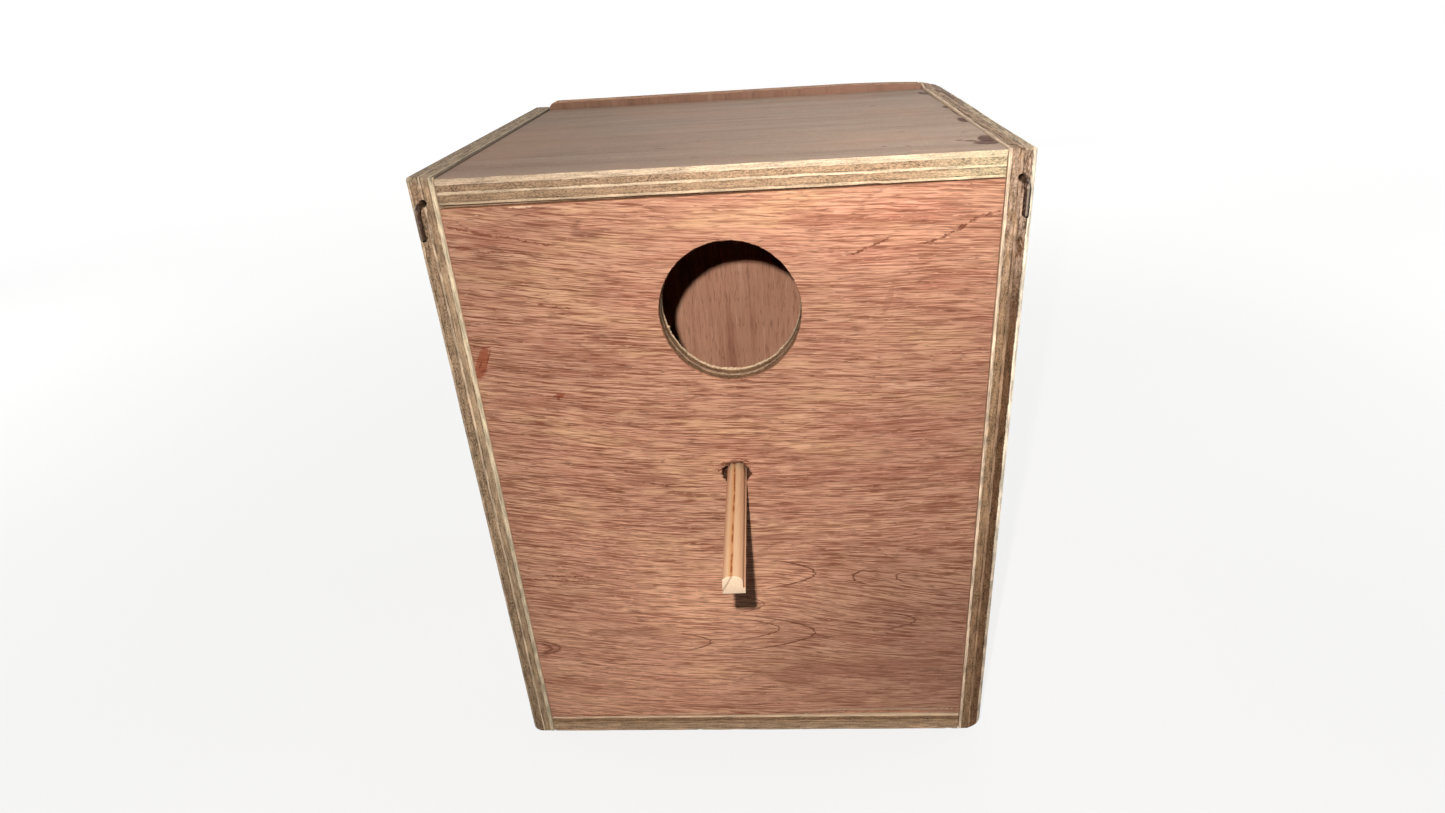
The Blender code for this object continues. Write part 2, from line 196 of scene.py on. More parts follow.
PERCH_SLICE = 0.9 * MM
DISH_RADIUS = 55.0 * MM
DISH_DEPTH = 12.0 * MM
DISH_SETBACK = 10.0 * MM
DISH_STEPS = 24
DISH_GROOVE = 0.06 * MM

# How far below its top a board's rise or wear starts and is full
TOP_STRETCHES = {"left_side": (30 * MM, 6 * MM), "right_side": (30 * MM, 6 * MM), "back": (22 * MM, 4 * MM)}

# Where the right side's top rises on its way back, and where it bends down outward to the back panel
RIGHT_RISING = (-40 * MM, 20 * MM)
RIGHT_REAR = (68 * MM, 78.5 * MM)

# Sides and raggedness of each kind of hole. The entrance is turned at a radius of 1 and then stretched
NAIL_RIM = (28, 0.22 * MM)
HOOK_RIM = (32, 0.15 * MM)
PERCH_RIM = (72, 0.9 * MM)
ENTRANCE_RIM = (360, 0.010)

# A hook's cut tip, as (height above its end in millimetres, share of the wire's radius)
HOOK_TIP = ((0.20, 0.93), (0.06, 0.80), (0.0, 0.62))

# Turns a form made along +Z to +Y, from the front into the wood
INWARD = Matrix.Rotation(-pi / 2, 4, "X")

# Ply colours from a board's low side, as (depth in millimetres where the ply ends, colour, end grain, 0 to 1)
PLY_BLEND = 0.08
LEFT_PLIES = (
    (1, tone(184, 160, 134), 0.5), (3.7, tone(156, 130, 104), 1), (4.7, tone(208, 182, 154), 0.2),
    (7, tone(174, 147, 118), 0.45), (8.7, tone(216, 196, 166), 0.1),
)
# The right side's cream plies are paler than the left's, partly their own colour and partly painted light
# where more light falls on the right
RIGHT_PLIES = (
    (1.2, tone(250, 220, 190), 0), (3.7, tone(168, 135, 104), 0.7), (4.9, tone(174, 140, 112), 0.3),
    (7.4, tone(110, 80, 57), 0.9), (8.7, tone(252, 236, 212), 0),
)
ROOF_PLIES = (
    (1, tone(208, 180, 150), 0.3), (3.4, tone(168, 138, 110), 0.75), (4.4, tone(222, 196, 166), 0.3),
    (6.5, tone(170, 140, 112), 0.9), (8.7, tone(214, 188, 160), 0.35),
)
FLOOR_PLIES = (
    (1.4, tone(194, 162, 133), 0.2), (4.6, tone(186, 154, 124), 0.5), (6, tone(182, 148, 116), 0.3),
    (7.8, tone(150, 119, 90), 0.8), (8.7, tone(224, 188, 157), 0.1),
)
FRONT_PLIES = (
    (1.1, tone(190, 136, 108), 0.1), (3.5, tone(150, 112, 84), 0.8), (5.1, tone(206, 172, 142), 0.2),
    (7.6, tone(148, 112, 84), 0.8), (8.7, tone(236, 204, 170), 0),
)
BACK_PLIES = (
    (1.1, tone(190, 136, 108), 0.1), (3.5, tone(150, 112, 84), 0.8), (5.1, tone(206, 172, 142), 0.2),
    (7.6, tone(148, 112, 84), 0.8), (8.7, tone(188, 140, 112), 0.1),
)
GLUE_COLOUR = tone(84, 60, 42)

# Veneer colours
FRONT_DARK = tone(158, 106, 84)
FRONT_MIDDLE = tone(192, 140, 114)
FRONT_PALE = tone(222, 176, 148)
FRONT_BASE = tone(196, 150, 126)
FRONT_PORE = tone(104, 62, 44)
FRONT_LINE = tone(126, 74, 54)
FRONT_CRACK = tone(112, 56, 38)
FRONT_YELLOW = tone(212, 168, 128)
FRONT_RED = tone(172, 108, 90)
FRONT_PATCH = tone(140, 68, 40)
FRONT_TORN = tone(232, 200, 168)
BACK_COLOURS = (FRONT_DARK, FRONT_MIDDLE, FRONT_PALE, FRONT_PORE)
DUST = tone(92, 72, 60)
DUST_RIGHT = tone(142, 112, 96)
ROOF_DARK = tone(136, 112, 98)
ROOF_MIDDLE = tone(157, 134, 117)
ROOF_PALE = tone(176, 153, 135)
ROOF_WARM = tone(178, 145, 125)
ROOF_PORE = tone(84, 60, 50)
# Greyed tops of the sides; the right's is paler, partly as painted light
LEFT_WORN = tone(150, 137, 118)
RIGHT_WORN_AND_LIT = tone(188, 166, 142)
# Painted shade for the gaps beside the lid
LID_GAP_SHADE = tone(58, 44, 34)
# Painted shade in and around the perch's hole
HOLE_SHADE = tone(78, 42, 28)
GREEN_TINT = tone(196, 186, 150)
LIFTED = tone(206, 176, 154)
RIGHT_RIM = tone(226, 204, 172)
SLIT_COLOUR = tone(96, 72, 52)
LEFT_TOP = tone(138, 110, 88)
RIGHT_LOW = tone(148, 114, 86)
TORN_DARK = tone(84, 56, 45)
TORN_LIGHT = tone(122, 92, 76)
CREAM = (tone(196, 168, 138), tone(214, 187, 156), tone(226, 202, 174), tone(168, 136, 106))
PERCH_PALE = tone(210, 175, 140)
PERCH_MIDDLE = tone(202, 163, 127)
PERCH_DARK = tone(172, 122, 84)
PERCH_TAN = tone(184, 136, 104)
PERCH_STREAK = tone(140, 76, 36)
PERCH_ORANGE = tone(196, 142, 92)
# The perch's end face, painted lighter than its sides, partly for its end grain and partly as painted light
PERCH_END_LIT = tone(255, 230, 202)
PERCH_END_DARK = tone(246, 212, 178)
# Painted shade for the groove by the perch's right lip
PERCH_GROOVE_SHADE = tone(96, 56, 34)
PERCH_STREAK_X = -1.35 * MM
PERCH_LINE_SLOPE = 0.01746
PERCH_LIP_X = 2.9 * MM
PERCH_LIP_Z = 137.5 * MM
PERCH_STREAK_Z = 140.5 * MM
PERCH_TIP_Y = -139.6 * MM
BLOCK_PALE = tone(226, 196, 152)
BLOCK_MIDDLE = tone(212, 176, 130)
BLOCK_DARK = tone(178, 130, 84)
WIRE_DARK = tone(56, 36, 24)
# Bright spots on the wire, partly rubbed steel and partly painted highlight
WIRE_RUB_AND_HIGHLIGHT = tone(176, 154, 134)
# Where a painted highlight line runs down the front of each hook's leg
WIRE_HIGHLIGHT_X = 96.3 * MM
WIRE_HIGHLIGHT_Y = -84.7 * MM
NAIL_PALE = tone(196, 194, 190)
NAIL_DULL = tone(130, 124, 118)

# Grain, as (bumps along and across in millimetres, detail, roughness): broad, streak, fibre, pore lines, gate
GRAIN_LAYERS = (
    ((150, 8), 3.0, 0.55), ((38, 1.5), 3.0, 0.6), ((9, 0.38), 2.0, 0.6), ((15, 0.95), 1.0, 0.5),
    ((10, 1.8), 1.0, 0.5),
)

# Grain of the front: lines lean down to the right at its left and rise at its right
FRONT_GRAIN_LEAN = 0.05
FRONT_GRAIN_BEND = 0.61
FRONT_SWERVE = 0.16

# Fine lines of the front, as (spacing, length, strength, seed)
FRONT_LINES = ((0.54, 15.0, 0.94, 12.3), (1.10, 30.0, 0.18, 14.7), (0.34, 7.0, 0.70, 16.1))

# Marks on the front in millimetres: arcs are (apex, bend, reach, width) of ring lines that turn back,
# blotches and patches are (centre, reach, turn), and strokes and tears are (start, end, width)
FRONT_ARCS = (
    ((29.2, 89.8), 0.33, 9.5, 0.55), ((28.7, 58.3), 0.3, 13, 0.5), ((44.4, 87.4), -0.35, 5, 0.5),
    ((61.4, 87), -0.5, 3.2, 0.4), ((14, 60.5), 0.5, 7, 0.4), ((-15.3, 53.5), 0.5, 5.5, 0.4),
    ((-80.9, 51.2), 0.5, 5.5, 0.7), ((-84.5, 51), 0.6, 4, 0.9), ((8, 74), 0.5, 6.5, 0.35),
    ((70, 64), 0.6, 6, 0.35),
)
FRONT_BLOTCHES = (
    ((37, 67.5), (5, 1.6)), ((50, 72), (8, 2.2), 0.2), ((61.5, 56), (3, 1.4)), ((-33, 137), (11, 3.6)),
    ((20, 108), (14, 2)), ((-52, 60), (16, 2.4)), ((46, 38), (42, 4.6), 0.05), ((16, 33), (12, 5), -0.5),
    ((-40, 84), (5, 1.2)), ((-76, 222), (16, 2.6), -0.2), ((-60, 230), (12, 2), -0.3), ((-84, 51), (4, 3.4)),
    ((55.6, 206.5), (1.3, 5.5), -0.3),
)
FRONT_PATCHES = (
    ((-87.8, 188.6), (2.2, 7.2), -0.38), ((-61.6, 174.4), (1.8, 0.9)),
)
FRONT_STROKES = (
    ((-90.3, 195.2), (-84.9, 194.2), 1), ((-90, 184.6), (-86, 185.8), 0.9),
    ((-89.6, 186.5), (-87.5, 189.5), 0.7), ((-64.6, 174.1), (-60.6, 173.6), 1.5),
    ((-63.4, 172.9), (-61.8, 172.6), 1.3), ((-64.6, 209.9), (-60.6, 209), 0.8),
    ((-60.6, 209), (-51.3, 207.9), 0.7), ((-90.6, 239), (-82.7, 237.1), 0.9),
    ((-82.7, 237.1), (-74.7, 234.9), 1.2), ((-74.7, 234.9), (-62.2, 232.2), 0.6),
    ((-62.2, 232.2), (-54.2, 230.3), 0.8), ((-91.3, 232.2), (-78.7, 230.1), 0.8),
    ((-78.7, 230.1), (-71.2, 229.3), 0.5), ((42.7, 222.9), (48.6, 225), 0.8),
    ((48.6, 225), (55.7, 228.4), 0.7), ((64.4, 225.3), (71.6, 227.3), 0.7),
    ((71.6, 227.3), (76.4, 229.7), 0.9), ((76.4, 229.7), (80.2, 231.6), 1.8), ((80.2, 231.6), (83.9, 234), 1),
    ((83.9, 234), (91, 235.3), 0.8), ((-88, 194.6), (-83.4, 194.6), 0.8), ((-83.6, 194), (-86.6, 187.5), 0.6),
    ((-82.2, 91), (-61.5, 89.9), 0.7), ((-80, 88.4), (-62, 87.6), 0.6), ((-44, 141), (-30, 139), 0.6),
    ((-38, 136), (-22, 133), 0.6), ((0.6, 143.9), (4.6, 142.6), 0.8), ((1.8, 144.9), (5.6, 143.6), 0.6),
    ((-6.6, 139.6), (-4.6, 140.6), 0.8), ((-5.4, 142.9), (-2.6, 143.6), 0.7),
)
FRONT_TEARS = (
    ((25, 12.2), (91, 12.6), 0.9), ((-69, 244.4), (-60, 244.2), 0.7), ((-40, 10.6), (-12, 10.7), 0.5),
)
PERCH_HOLE_RIM = ((0.3, 139.2), (5.7, 5.6), 0.0, 0.3)

# Painted light and shade on the front, partly the veneer's own tone, as (place, reach, how much lighter)
FRONT_LIGHT_AND_TONE = (
    ((30, 242), (60, 34), 0.19), ((-78, 232), (34, 34), -0.22), ((-42, 22), (60, 34), 0.42),
    ((-8, 78), (38, 22), 0.46), ((66, 226), (24, 22), 0.12), ((62, 195), (30, 34), -0.1),
    ((-70, 165), (40, 40), -0.05), ((0, 112), (110, 14), 0.05), ((64, 18), (34, 14), 0.06),
    ((-74, 20), (24, 16), 0.04), ((-40, 75), (50, 60), 0.07), ((40, 238), (42, 13), 0.16),
    ((-60, 180), (30, 36), 0.05), ((-20, 150), (26, 16), 0.06), ((30, 108), (60, 10), 0.05),
    ((-91, 222), (12, 40), -0.06), ((60, 16), (40, 10), 0.05), ((-20, 14), (40, 8), 0.06),
    ((-76, 96), (12, 30), 0.07), ((-25, 60), (28, 42), 0.07), ((52, 40), (16, 12), 0.05),
    ((10, 243), (90, 8), 0.06), ((-60, 104), (30, 12), 0.04), ((14, 92), (20, 14), 0.05),
)

# Marks on the top in X and Y: strokes, cracks, flecks and slits are (start, end, width), chips are (centre,
# reach, turn)
ROOF_STROKES = (
    ((-23.5, -47), (-18.5, -47.2), 0.9), ((-9, -65), (-6, -65), 0.9), ((60.5, 24.7), (64.1, 24.6), 0.9),
    ((53.7, -64.9), (56.4, -64), 0.9), ((61.4, -65), (63.6, -66.4), 0.9), ((62.8, -40), (65.8, -40.1), 0.7),
    ((83.6, -46.4), (86.2, -47), 1), ((87.2, 58), (89.6, 48), 1.1),
)
ROOF_CRACKS = (
    ((90.7, 6), (90.5, -16), 0.8), ((90.8, 66), (90.6, 36), 0.6),
)
ROOF_FLECKS = (
    ((61.9, -73.7), (65.2, -73.2), 1), ((84.8, -60.2), (88.6, -57.2), 0.9), ((-70, 20), (-66.5, 20.2), 0.5),
)
RIGHT_SLITS = (
    ((92.7, 3), (92.9, -12), 1.1), ((93, -10), (93.5, -23), 0.9), ((93.4, 6), (90.9, 5.6), 1),
    ((92.5, -27), (93.6, -49), 0.8), ((92.4, -70.6), (94.8, -74.8), 1.3), ((95, 60), (96.8, 44), 1.8),
    ((93.9, -48), (94, -68), 0.5), ((94, 42), (94.2, 18), 0.6), ((94.1, 16), (94.4, -8), 0.8),
    ((97.2, 50), (97, 24), 1), ((95.4, -79.6), (95.9, -78.6), 1.2),
)
ROOF_CHIPS = (
    ((89.3, -60.4), (3.3, 6), -0.1), ((87.6, -66.6), (4.6, 3.4), -0.1), ((83.4, -62.6), (2.4, 1.1), -0.4),
    ((89.9, -22.5), (2, 5.6)), ((90.4, 10), (1.5, 3.6)), ((88.8, 53), (2, 5.4), 0.2),
    ((80.2, -60.6), (1.3, 0.8)),
)

# Gouges in the boards, as (place, reach, depth)
LEFT_GOUGES = (
    ((-0.0965, -0.079, 0.2395), (1.9 * MM, 1.5 * MM, 4.2 * MM), 0.35 * MM),
    ((-0.0987, -0.079, 0.212), (0.6 * MM, 1.5 * MM, 9.0 * MM), 0.30 * MM),
)
RIGHT_GOUGES = (
    ((0.0962, -0.079, 0.205), (0.9 * MM, 1.5 * MM, 3.5 * MM), 0.35 * MM),
    ((0.0968, -0.079, 0.188), (0.8 * MM, 1.5 * MM, 2.2 * MM), 0.30 * MM),
    ((0.0955, -0.079, 0.125), (0.8 * MM, 1.5 * MM, 3.0 * MM), 0.30 * MM),
)
FRONT_GOUGES = (
    ((-0.0624, -0.079, 0.1746), (1.0 * MM, 1.0 * MM, 0.7 * MM), 0.35 * MM),
    ((0.0580, -0.079, 0.0100), (34.0 * MM, 0.8 * MM, 1.6 * MM), 0.45 * MM),
)
ROOF_GOUGES = (
    ((0.0886, -0.0632, 0.2547), (3.8 * MM, 7.0 * MM, 0.8 * MM), 0.18 * MM),
    ((0.0899, -0.0225, 0.2547), (1.3 * MM, 4.4 * MM, 0.8 * MM), 0.20 * MM),
    ((0.0886, 0.0530, 0.2547), (1.4 * MM, 5.0 * MM, 0.8 * MM), 0.18 * MM),
)


@dataclass
class Board:
    """How one board is made.

    axis is the one that its thickness is along, and steps are its grid's. nails is what the names of the
    nails in it have in common. radii are its profile's corners (low X low Z, high X low Z, low X high Z,
    high X high Z), lean lifts its high X end, spread widens its low X end's front and rear and its high X
    end, and wear_and_light is what its ply edges have beyond their plies: dirt, wear and marks, and
    painted light and shade.
    """

    name: str
    node: str
    axis: int
    steps: tuple
    plies: tuple
    seed: int
    slot: str = "side_ply"
    nails: str = "nail"
    nail_seed: int = 0
    body: str = "box"
    radii: tuple = SMALL_RADII
    lean: float = 0.0
    spread: tuple = (0.0, 0.0, 0.0)
    gouges: tuple = ()
    wear_and_light: dict = field(default_factory=dict)


BOARDS = (
    Board(
        "left_side", "left_side_panel", 0, (PLY_STEP, 1.8 * MM, 1.0 * MM), LEFT_PLIES, 100,
        radii=LEFT_SIDE_RADII, gouges=LEFT_GOUGES,
        wear_and_light={"dirt": 0.9, "worn": (LEFT_WORN, 0.6, 8.7, 0.92), "lift": (LEFT_TOP, 0.8, 205, 238, 0.0)},
    ),
    Board(
        "right_side", "right_side_panel", 0, (PLY_STEP, 1.8 * MM, 1.0 * MM), RIGHT_PLIES, 200,
        radii=RIGHT_SIDE_RADII, gouges=RIGHT_GOUGES,
        wear_and_light={
            "dirt": 1.0, "worn": (RIGHT_WORN_AND_LIT, 0.3, 0.0, 0.25), "lift": (LIFTED, 0.8, 190, 240, 0.5),
            "slits": RIGHT_SLITS,
        },
    ),
    Board(
        "front", "front_panel", 1, (1.3 * MM, PLY_STEP, 1.3 * MM), FRONT_PLIES, 300, "face_veneer",
        "front_nail", 350, lean=FRONT_OUT_OF_SQUARE, spread=FRONT_SPREAD, gouges=FRONT_GOUGES,
        wear_and_light={"dirt": 0.6, "hole": (0.6, 138.6)},
    ),
    Board(
        "back", "back_panel", 1, (1.5 * MM, PLY_STEP, 1.8 * MM), BACK_PLIES, 400, "face_veneer",
        "back_nail", 400, radii=BACK_RADII,
    ),
    Board(
        "floor", "floor_panel", 2, (1.3 * MM, 2.4 * MM, PLY_STEP), FLOOR_PLIES, 600, "side_ply",
        "floor_nail", 600, wear_and_light={"dirt": 0.6},
    ),
    Board(
        "roof", "roof_lid", 2, (1.1 * MM, 1.5 * MM, PLY_STEP), ROOF_PLIES, 700, "weathered_ply",
        "lid_pivot_nail", 700, "lid", spread=ROOF_SPREAD, gouges=ROOF_GOUGES,
        # The roof edge gets painted light and shade: darker at the left, lighter at the right
        wear_and_light={"light_slope": (0.69, 1.35), "tint": GREEN_TINT},
    ),
)


class Value:
    """A number or a colour that nodes work out. It takes part in sums as a plain number does."""

    def __init__(self, graph, socket):
        self.graph = graph
        self.socket = socket

    def math(self, operation, *others):
        """This value in one sum with others."""
        return self.graph.math(operation, self, *others)

    def __add__(self, other):
        return self.math("ADD", other)

    def __sub__(self, other):
        return self.math("SUBTRACT", other)

    def __rsub__(self, other):
        return self.graph.math("SUBTRACT", other, self)

    def __mul__(self, other):
        return self.math("MULTIPLY", other)

    def __truediv__(self, other):
        return self.math("DIVIDE", other)

    def __pow__(self, other):
        return self.math("POWER", other)

    def __abs__(self):
        return self.math("ABSOLUTE")

    def ease(self, low, high, start=0.0, end=1.0):
        """Smoothly from start to end as the value goes from low to high."""
        node = self.graph.add(
            "ShaderNodeMapRange", Value=self, From_Min=low, From_Max=high, To_Min=start, To_Max=end
        )
        node.interpolation_type = "SMOOTHSTEP"
        return Value(self.graph, node.outputs[0])

    def ease_mm(self, low, high, start=0.0, end=1.0):
        """The same, with low and high in millimetres."""
        return self.ease(low * MM, high * MM, start, end)


class Graph:
    """A node graph, with a short call for each kind of node."""

    def __init__(self, tree):
        self.tree = tree

    def feed(self, socket, value):
        """Link a socket to another node, or give it a plain value."""
        if isinstance(value, Value):
            self.tree.links.new(value.socket, socket)
        else:
            socket.default_value = value

    def add(self, kind, **inputs):
        """A node, with its named inputs fed."""
        node = self.tree.nodes.new(kind)
        for name, value in inputs.items():
            self.feed(node.inputs[name.replace("_", " ")], value)
        return node

    def math(self, operation, *values):
        """One sum on numbers."""
        node = self.add("ShaderNodeMath")
        node.operation = operation
        for socket, value in zip(node.inputs, values):
            self.feed(socket, value)
        return Value(self, node.outputs[0])

    def mix(self, share, first, second, blend="MIX"):
        """Two colours mixed."""
        node = self.add("ShaderNodeMix")
        node.data_type = "RGBA"
        node.blend_type = blend
        for number, value in zip(MIX_INPUTS, (share, first, second)):
            self.feed(node.inputs[number], value)
        return Value(self, node.outputs[2])

    def ramp(self, value, stops):
        """A colour read from stops of (position, colour)."""
        node = self.add("ShaderNodeValToRGB", Fac=value)
        elements = node.color_ramp.elements
        for element, (position, colour) in zip(elements, (stops[0], stops[-1])):
            element.position = position
            element.color = colour
        for position, colour in stops[1:-1]:
            elements.new(position).color = colour
        return Value(self, node.outputs[0])

    def seen(self):
        """1 on the paths that the camera sees straight, mirrored or through glass, and 0 on the light's."""
        paths = self.add("ShaderNodeLightPath").outputs
        kinds = ("Camera", "Glossy", "Transmission")
        camera, glossy, through = [Value(self, paths[f"Is {kind} Ray"]) for kind in kinds]
        return camera.math("MAXIMUM", glossy).math("MAXIMUM", through)


class Paint(Graph):
    """The node graph of one material, with the colour that is laid on so far."""

    def __init__(self, name, specular, metallic=0.0):
        self.material = bpy.data.materials.new(name)
        self.material.use_nodes = True
        super().__init__(self.material.node_tree)
        self.inputs = self.tree.nodes["Principled BSDF"].inputs
        self.inputs["Specular IOR Level"].default_value = specular
        self.inputs["Metallic"].default_value = metallic
        place = Value(self, self.add("ShaderNodeTexCoord").outputs["Object"])
        axes = self.add("ShaderNodeSeparateXYZ", Vector=place).outputs
        self.x, self.y, self.z = [Value(self, socket) for socket in axes]
        self.colour = None

    def lay(self, colour, share):
        """Lay another colour over what is there, with a share from 0 to 1."""
        self.colour = self.mix(share, self.colour, colour)

    def shade(self, amount):
        """Make what is there lighter or darker by a number about 1."""
        grey = self.add("ShaderNodeCombineColor", Red=amount, Green=amount, Blue=amount)
        self.colour = self.mix(1.0, self.colour, Value(self, grey.outputs[0]), "MULTIPLY")

    def finish(self, roughness, height=None, depth=0.0):
        """Give the shader its colour and roughness, and a bump whose height goes from 0 to 1."""
        self.feed(self.inputs["Base Color"], self.colour)
        self.feed(self.inputs["Roughness"], roughness)
        if height is not None:
            bump = self.add("ShaderNodeBump", Height=height, Distance=depth, Strength=1.0)
            self.feed(self.inputs["Normal"], Value(self, bump.outputs[0]))
        return self.material


def noise(place, sizes, detail=2.0, roughness=0.5):
    """Noise from 0 to 1 with bumps of these sizes in millimetres. A third number with no size is a seed."""
    graph = place[0].graph
    parts = [value / (size * MM) for value, size in zip(place, sizes)] + list(place[len(sizes):])
    point = graph.add("ShaderNodeCombineXYZ", **dict(zip("XYZ", parts)))
    point = Value(graph, point.outputs[0])
    node = graph.add("ShaderNodeTexNoise", Vector=point, Scale=1.0, Detail=detail, Roughness=roughness)
    return Value(graph, node.outputs[0])


def grain(along, across, seed, wander=4.0):
    """The wandering across value of a wood's grain, and its broad, streak, fibre and pore, from 0 to 1."""
    drift = noise((along, across, seed), (95, 34))
    wandering = across + (drift - 0.5) * (wander * MM)
    broad, streak, fibre, lines, gate = [
        noise((along, wandering, seed + number), sizes, detail, roughness)
        for number, (sizes, detail, roughness) in enumerate(GRAIN_LAYERS, 1)
    ]
    pore = abs(lines - 0.5).ease(0.0, 0.045, 1.0, 0.0) * gate.ease(0.42, 0.56)
    return wandering, broad, streak, fibre, pore


def blot(x, z, centre, reach, turn=0.0, rough=0.35):
    """A mark on a face, in millimetres: 1 in its middle and 0 past its ragged rim."""
    away_x = x - centre[0] * MM
    away_z = z - centre[1] * MM
    along = (away_x * cos(turn) + away_z * sin(turn)) / (reach[0] * MM)
    across = (away_z * cos(turn) - away_x * sin(turn)) / (reach[1] * MM)
    ragged = noise((x, z, 0.0), (1.6, 0.8), 3.0, 0.6)
    return (along ** 2.0 + across ** 2.0 + (ragged - 0.5) * (rough * 3)).ease(0.55, 1.15, 1.0, 0.0)


def stroke(x, z, start, end, width, rough=0.5):
    """A line mark from one point to another on a face, in millimetres."""
    centre = ((start[0] + end[0]) / 2, (start[1] + end[1]) / 2)
    half = hypot(end[0] - start[0], end[1] - start[1]) / 2
    return blot(x, z, centre, (half, width / 2), atan2(end[1] - start[1], end[0] - start[0]), rough)


def arc(x, z, apex, bend, reach, width):
    """A thin ring line that turns back at its apex; its arms fall back faster the more it bends."""
    rise = z - apex[1] * MM
    steep = (rise * (2 * bend / MM)) ** 2.0
    away = (x - apex[0] * MM + rise ** 2.0 * (bend / MM)) / (steep + 1.0).math("SQRT")
    line = abs(away).ease_mm(0.3 * width, width, 1.0, 0.0)
    return line * abs(rise).ease_mm(0.5 * reach, reach, 1.0, 0.0)


def marks(draw, x, z, rows, **options):
    """The strongest of several marks on a face, each drawn from a row of a table."""
    total, *others = [draw(x, z, *row, **options) for row in rows]
    for mask in others:
        total = total.math("MAXIMUM", mask)
    return total


def jogged(x, z, seed, reach):
    """X with the small sideways steps that a ring line takes from one pore line to the next."""
    return x + (noise((x, z, seed), (6, 0.7), 2.0, 0.6) - 0.5) * (reach * MM)


def ring_lines(x, z, seed, spacing):
    """Thin stepped growth-ring lines: contours of a slowly swelling field, broken up in patches."""
    swell = noise((x, z, seed), (50, 24), 1.0, 0.4)
    waves = ((z + swell * (34 * MM)) / spacing).math("FRACT")
    gate = noise((x, z, seed + 2), (20, 9), 3.0, 0.6)
    return abs(waves - 0.5).ease(0.01, 0.07, 1.0, 0.0) * gate.ease(0.46, 0.62)


def glow(x, z, centre, reach):
    """A soft round patch: 1 at its middle, falling away over its reach, in millimetres."""
    across = ((x - centre[0] * MM) / (reach[0] * MM)) ** 2.0
    upward = ((z - centre[1] * MM) / (reach[1] * MM)) ** 2.0
    return ((across + upward) * -1.0).math("EXPONENT")


def front_lean(x, z):
    """The front's height as its grain runs: down to the right at its left, up at its right, with a swerve."""
    left_x = x.math("MINIMUM", 0.0)
    right_x = x.math("MAXIMUM", 0.0)
    bend = left_x * left_x * -FRONT_GRAIN_BEND
    bend = bend + right_x * right_x * z.ease_mm(120, 215, -FRONT_GRAIN_BEND, -0.1)
    run = (x - 15 * MM).math("MAXIMUM", 0.0)
    swerve = run * abs(z - 62 * MM).ease_mm(8, 55, FRONT_SWERVE, 0.0)
    return z + x * FRONT_GRAIN_LEAN + bend + swerve


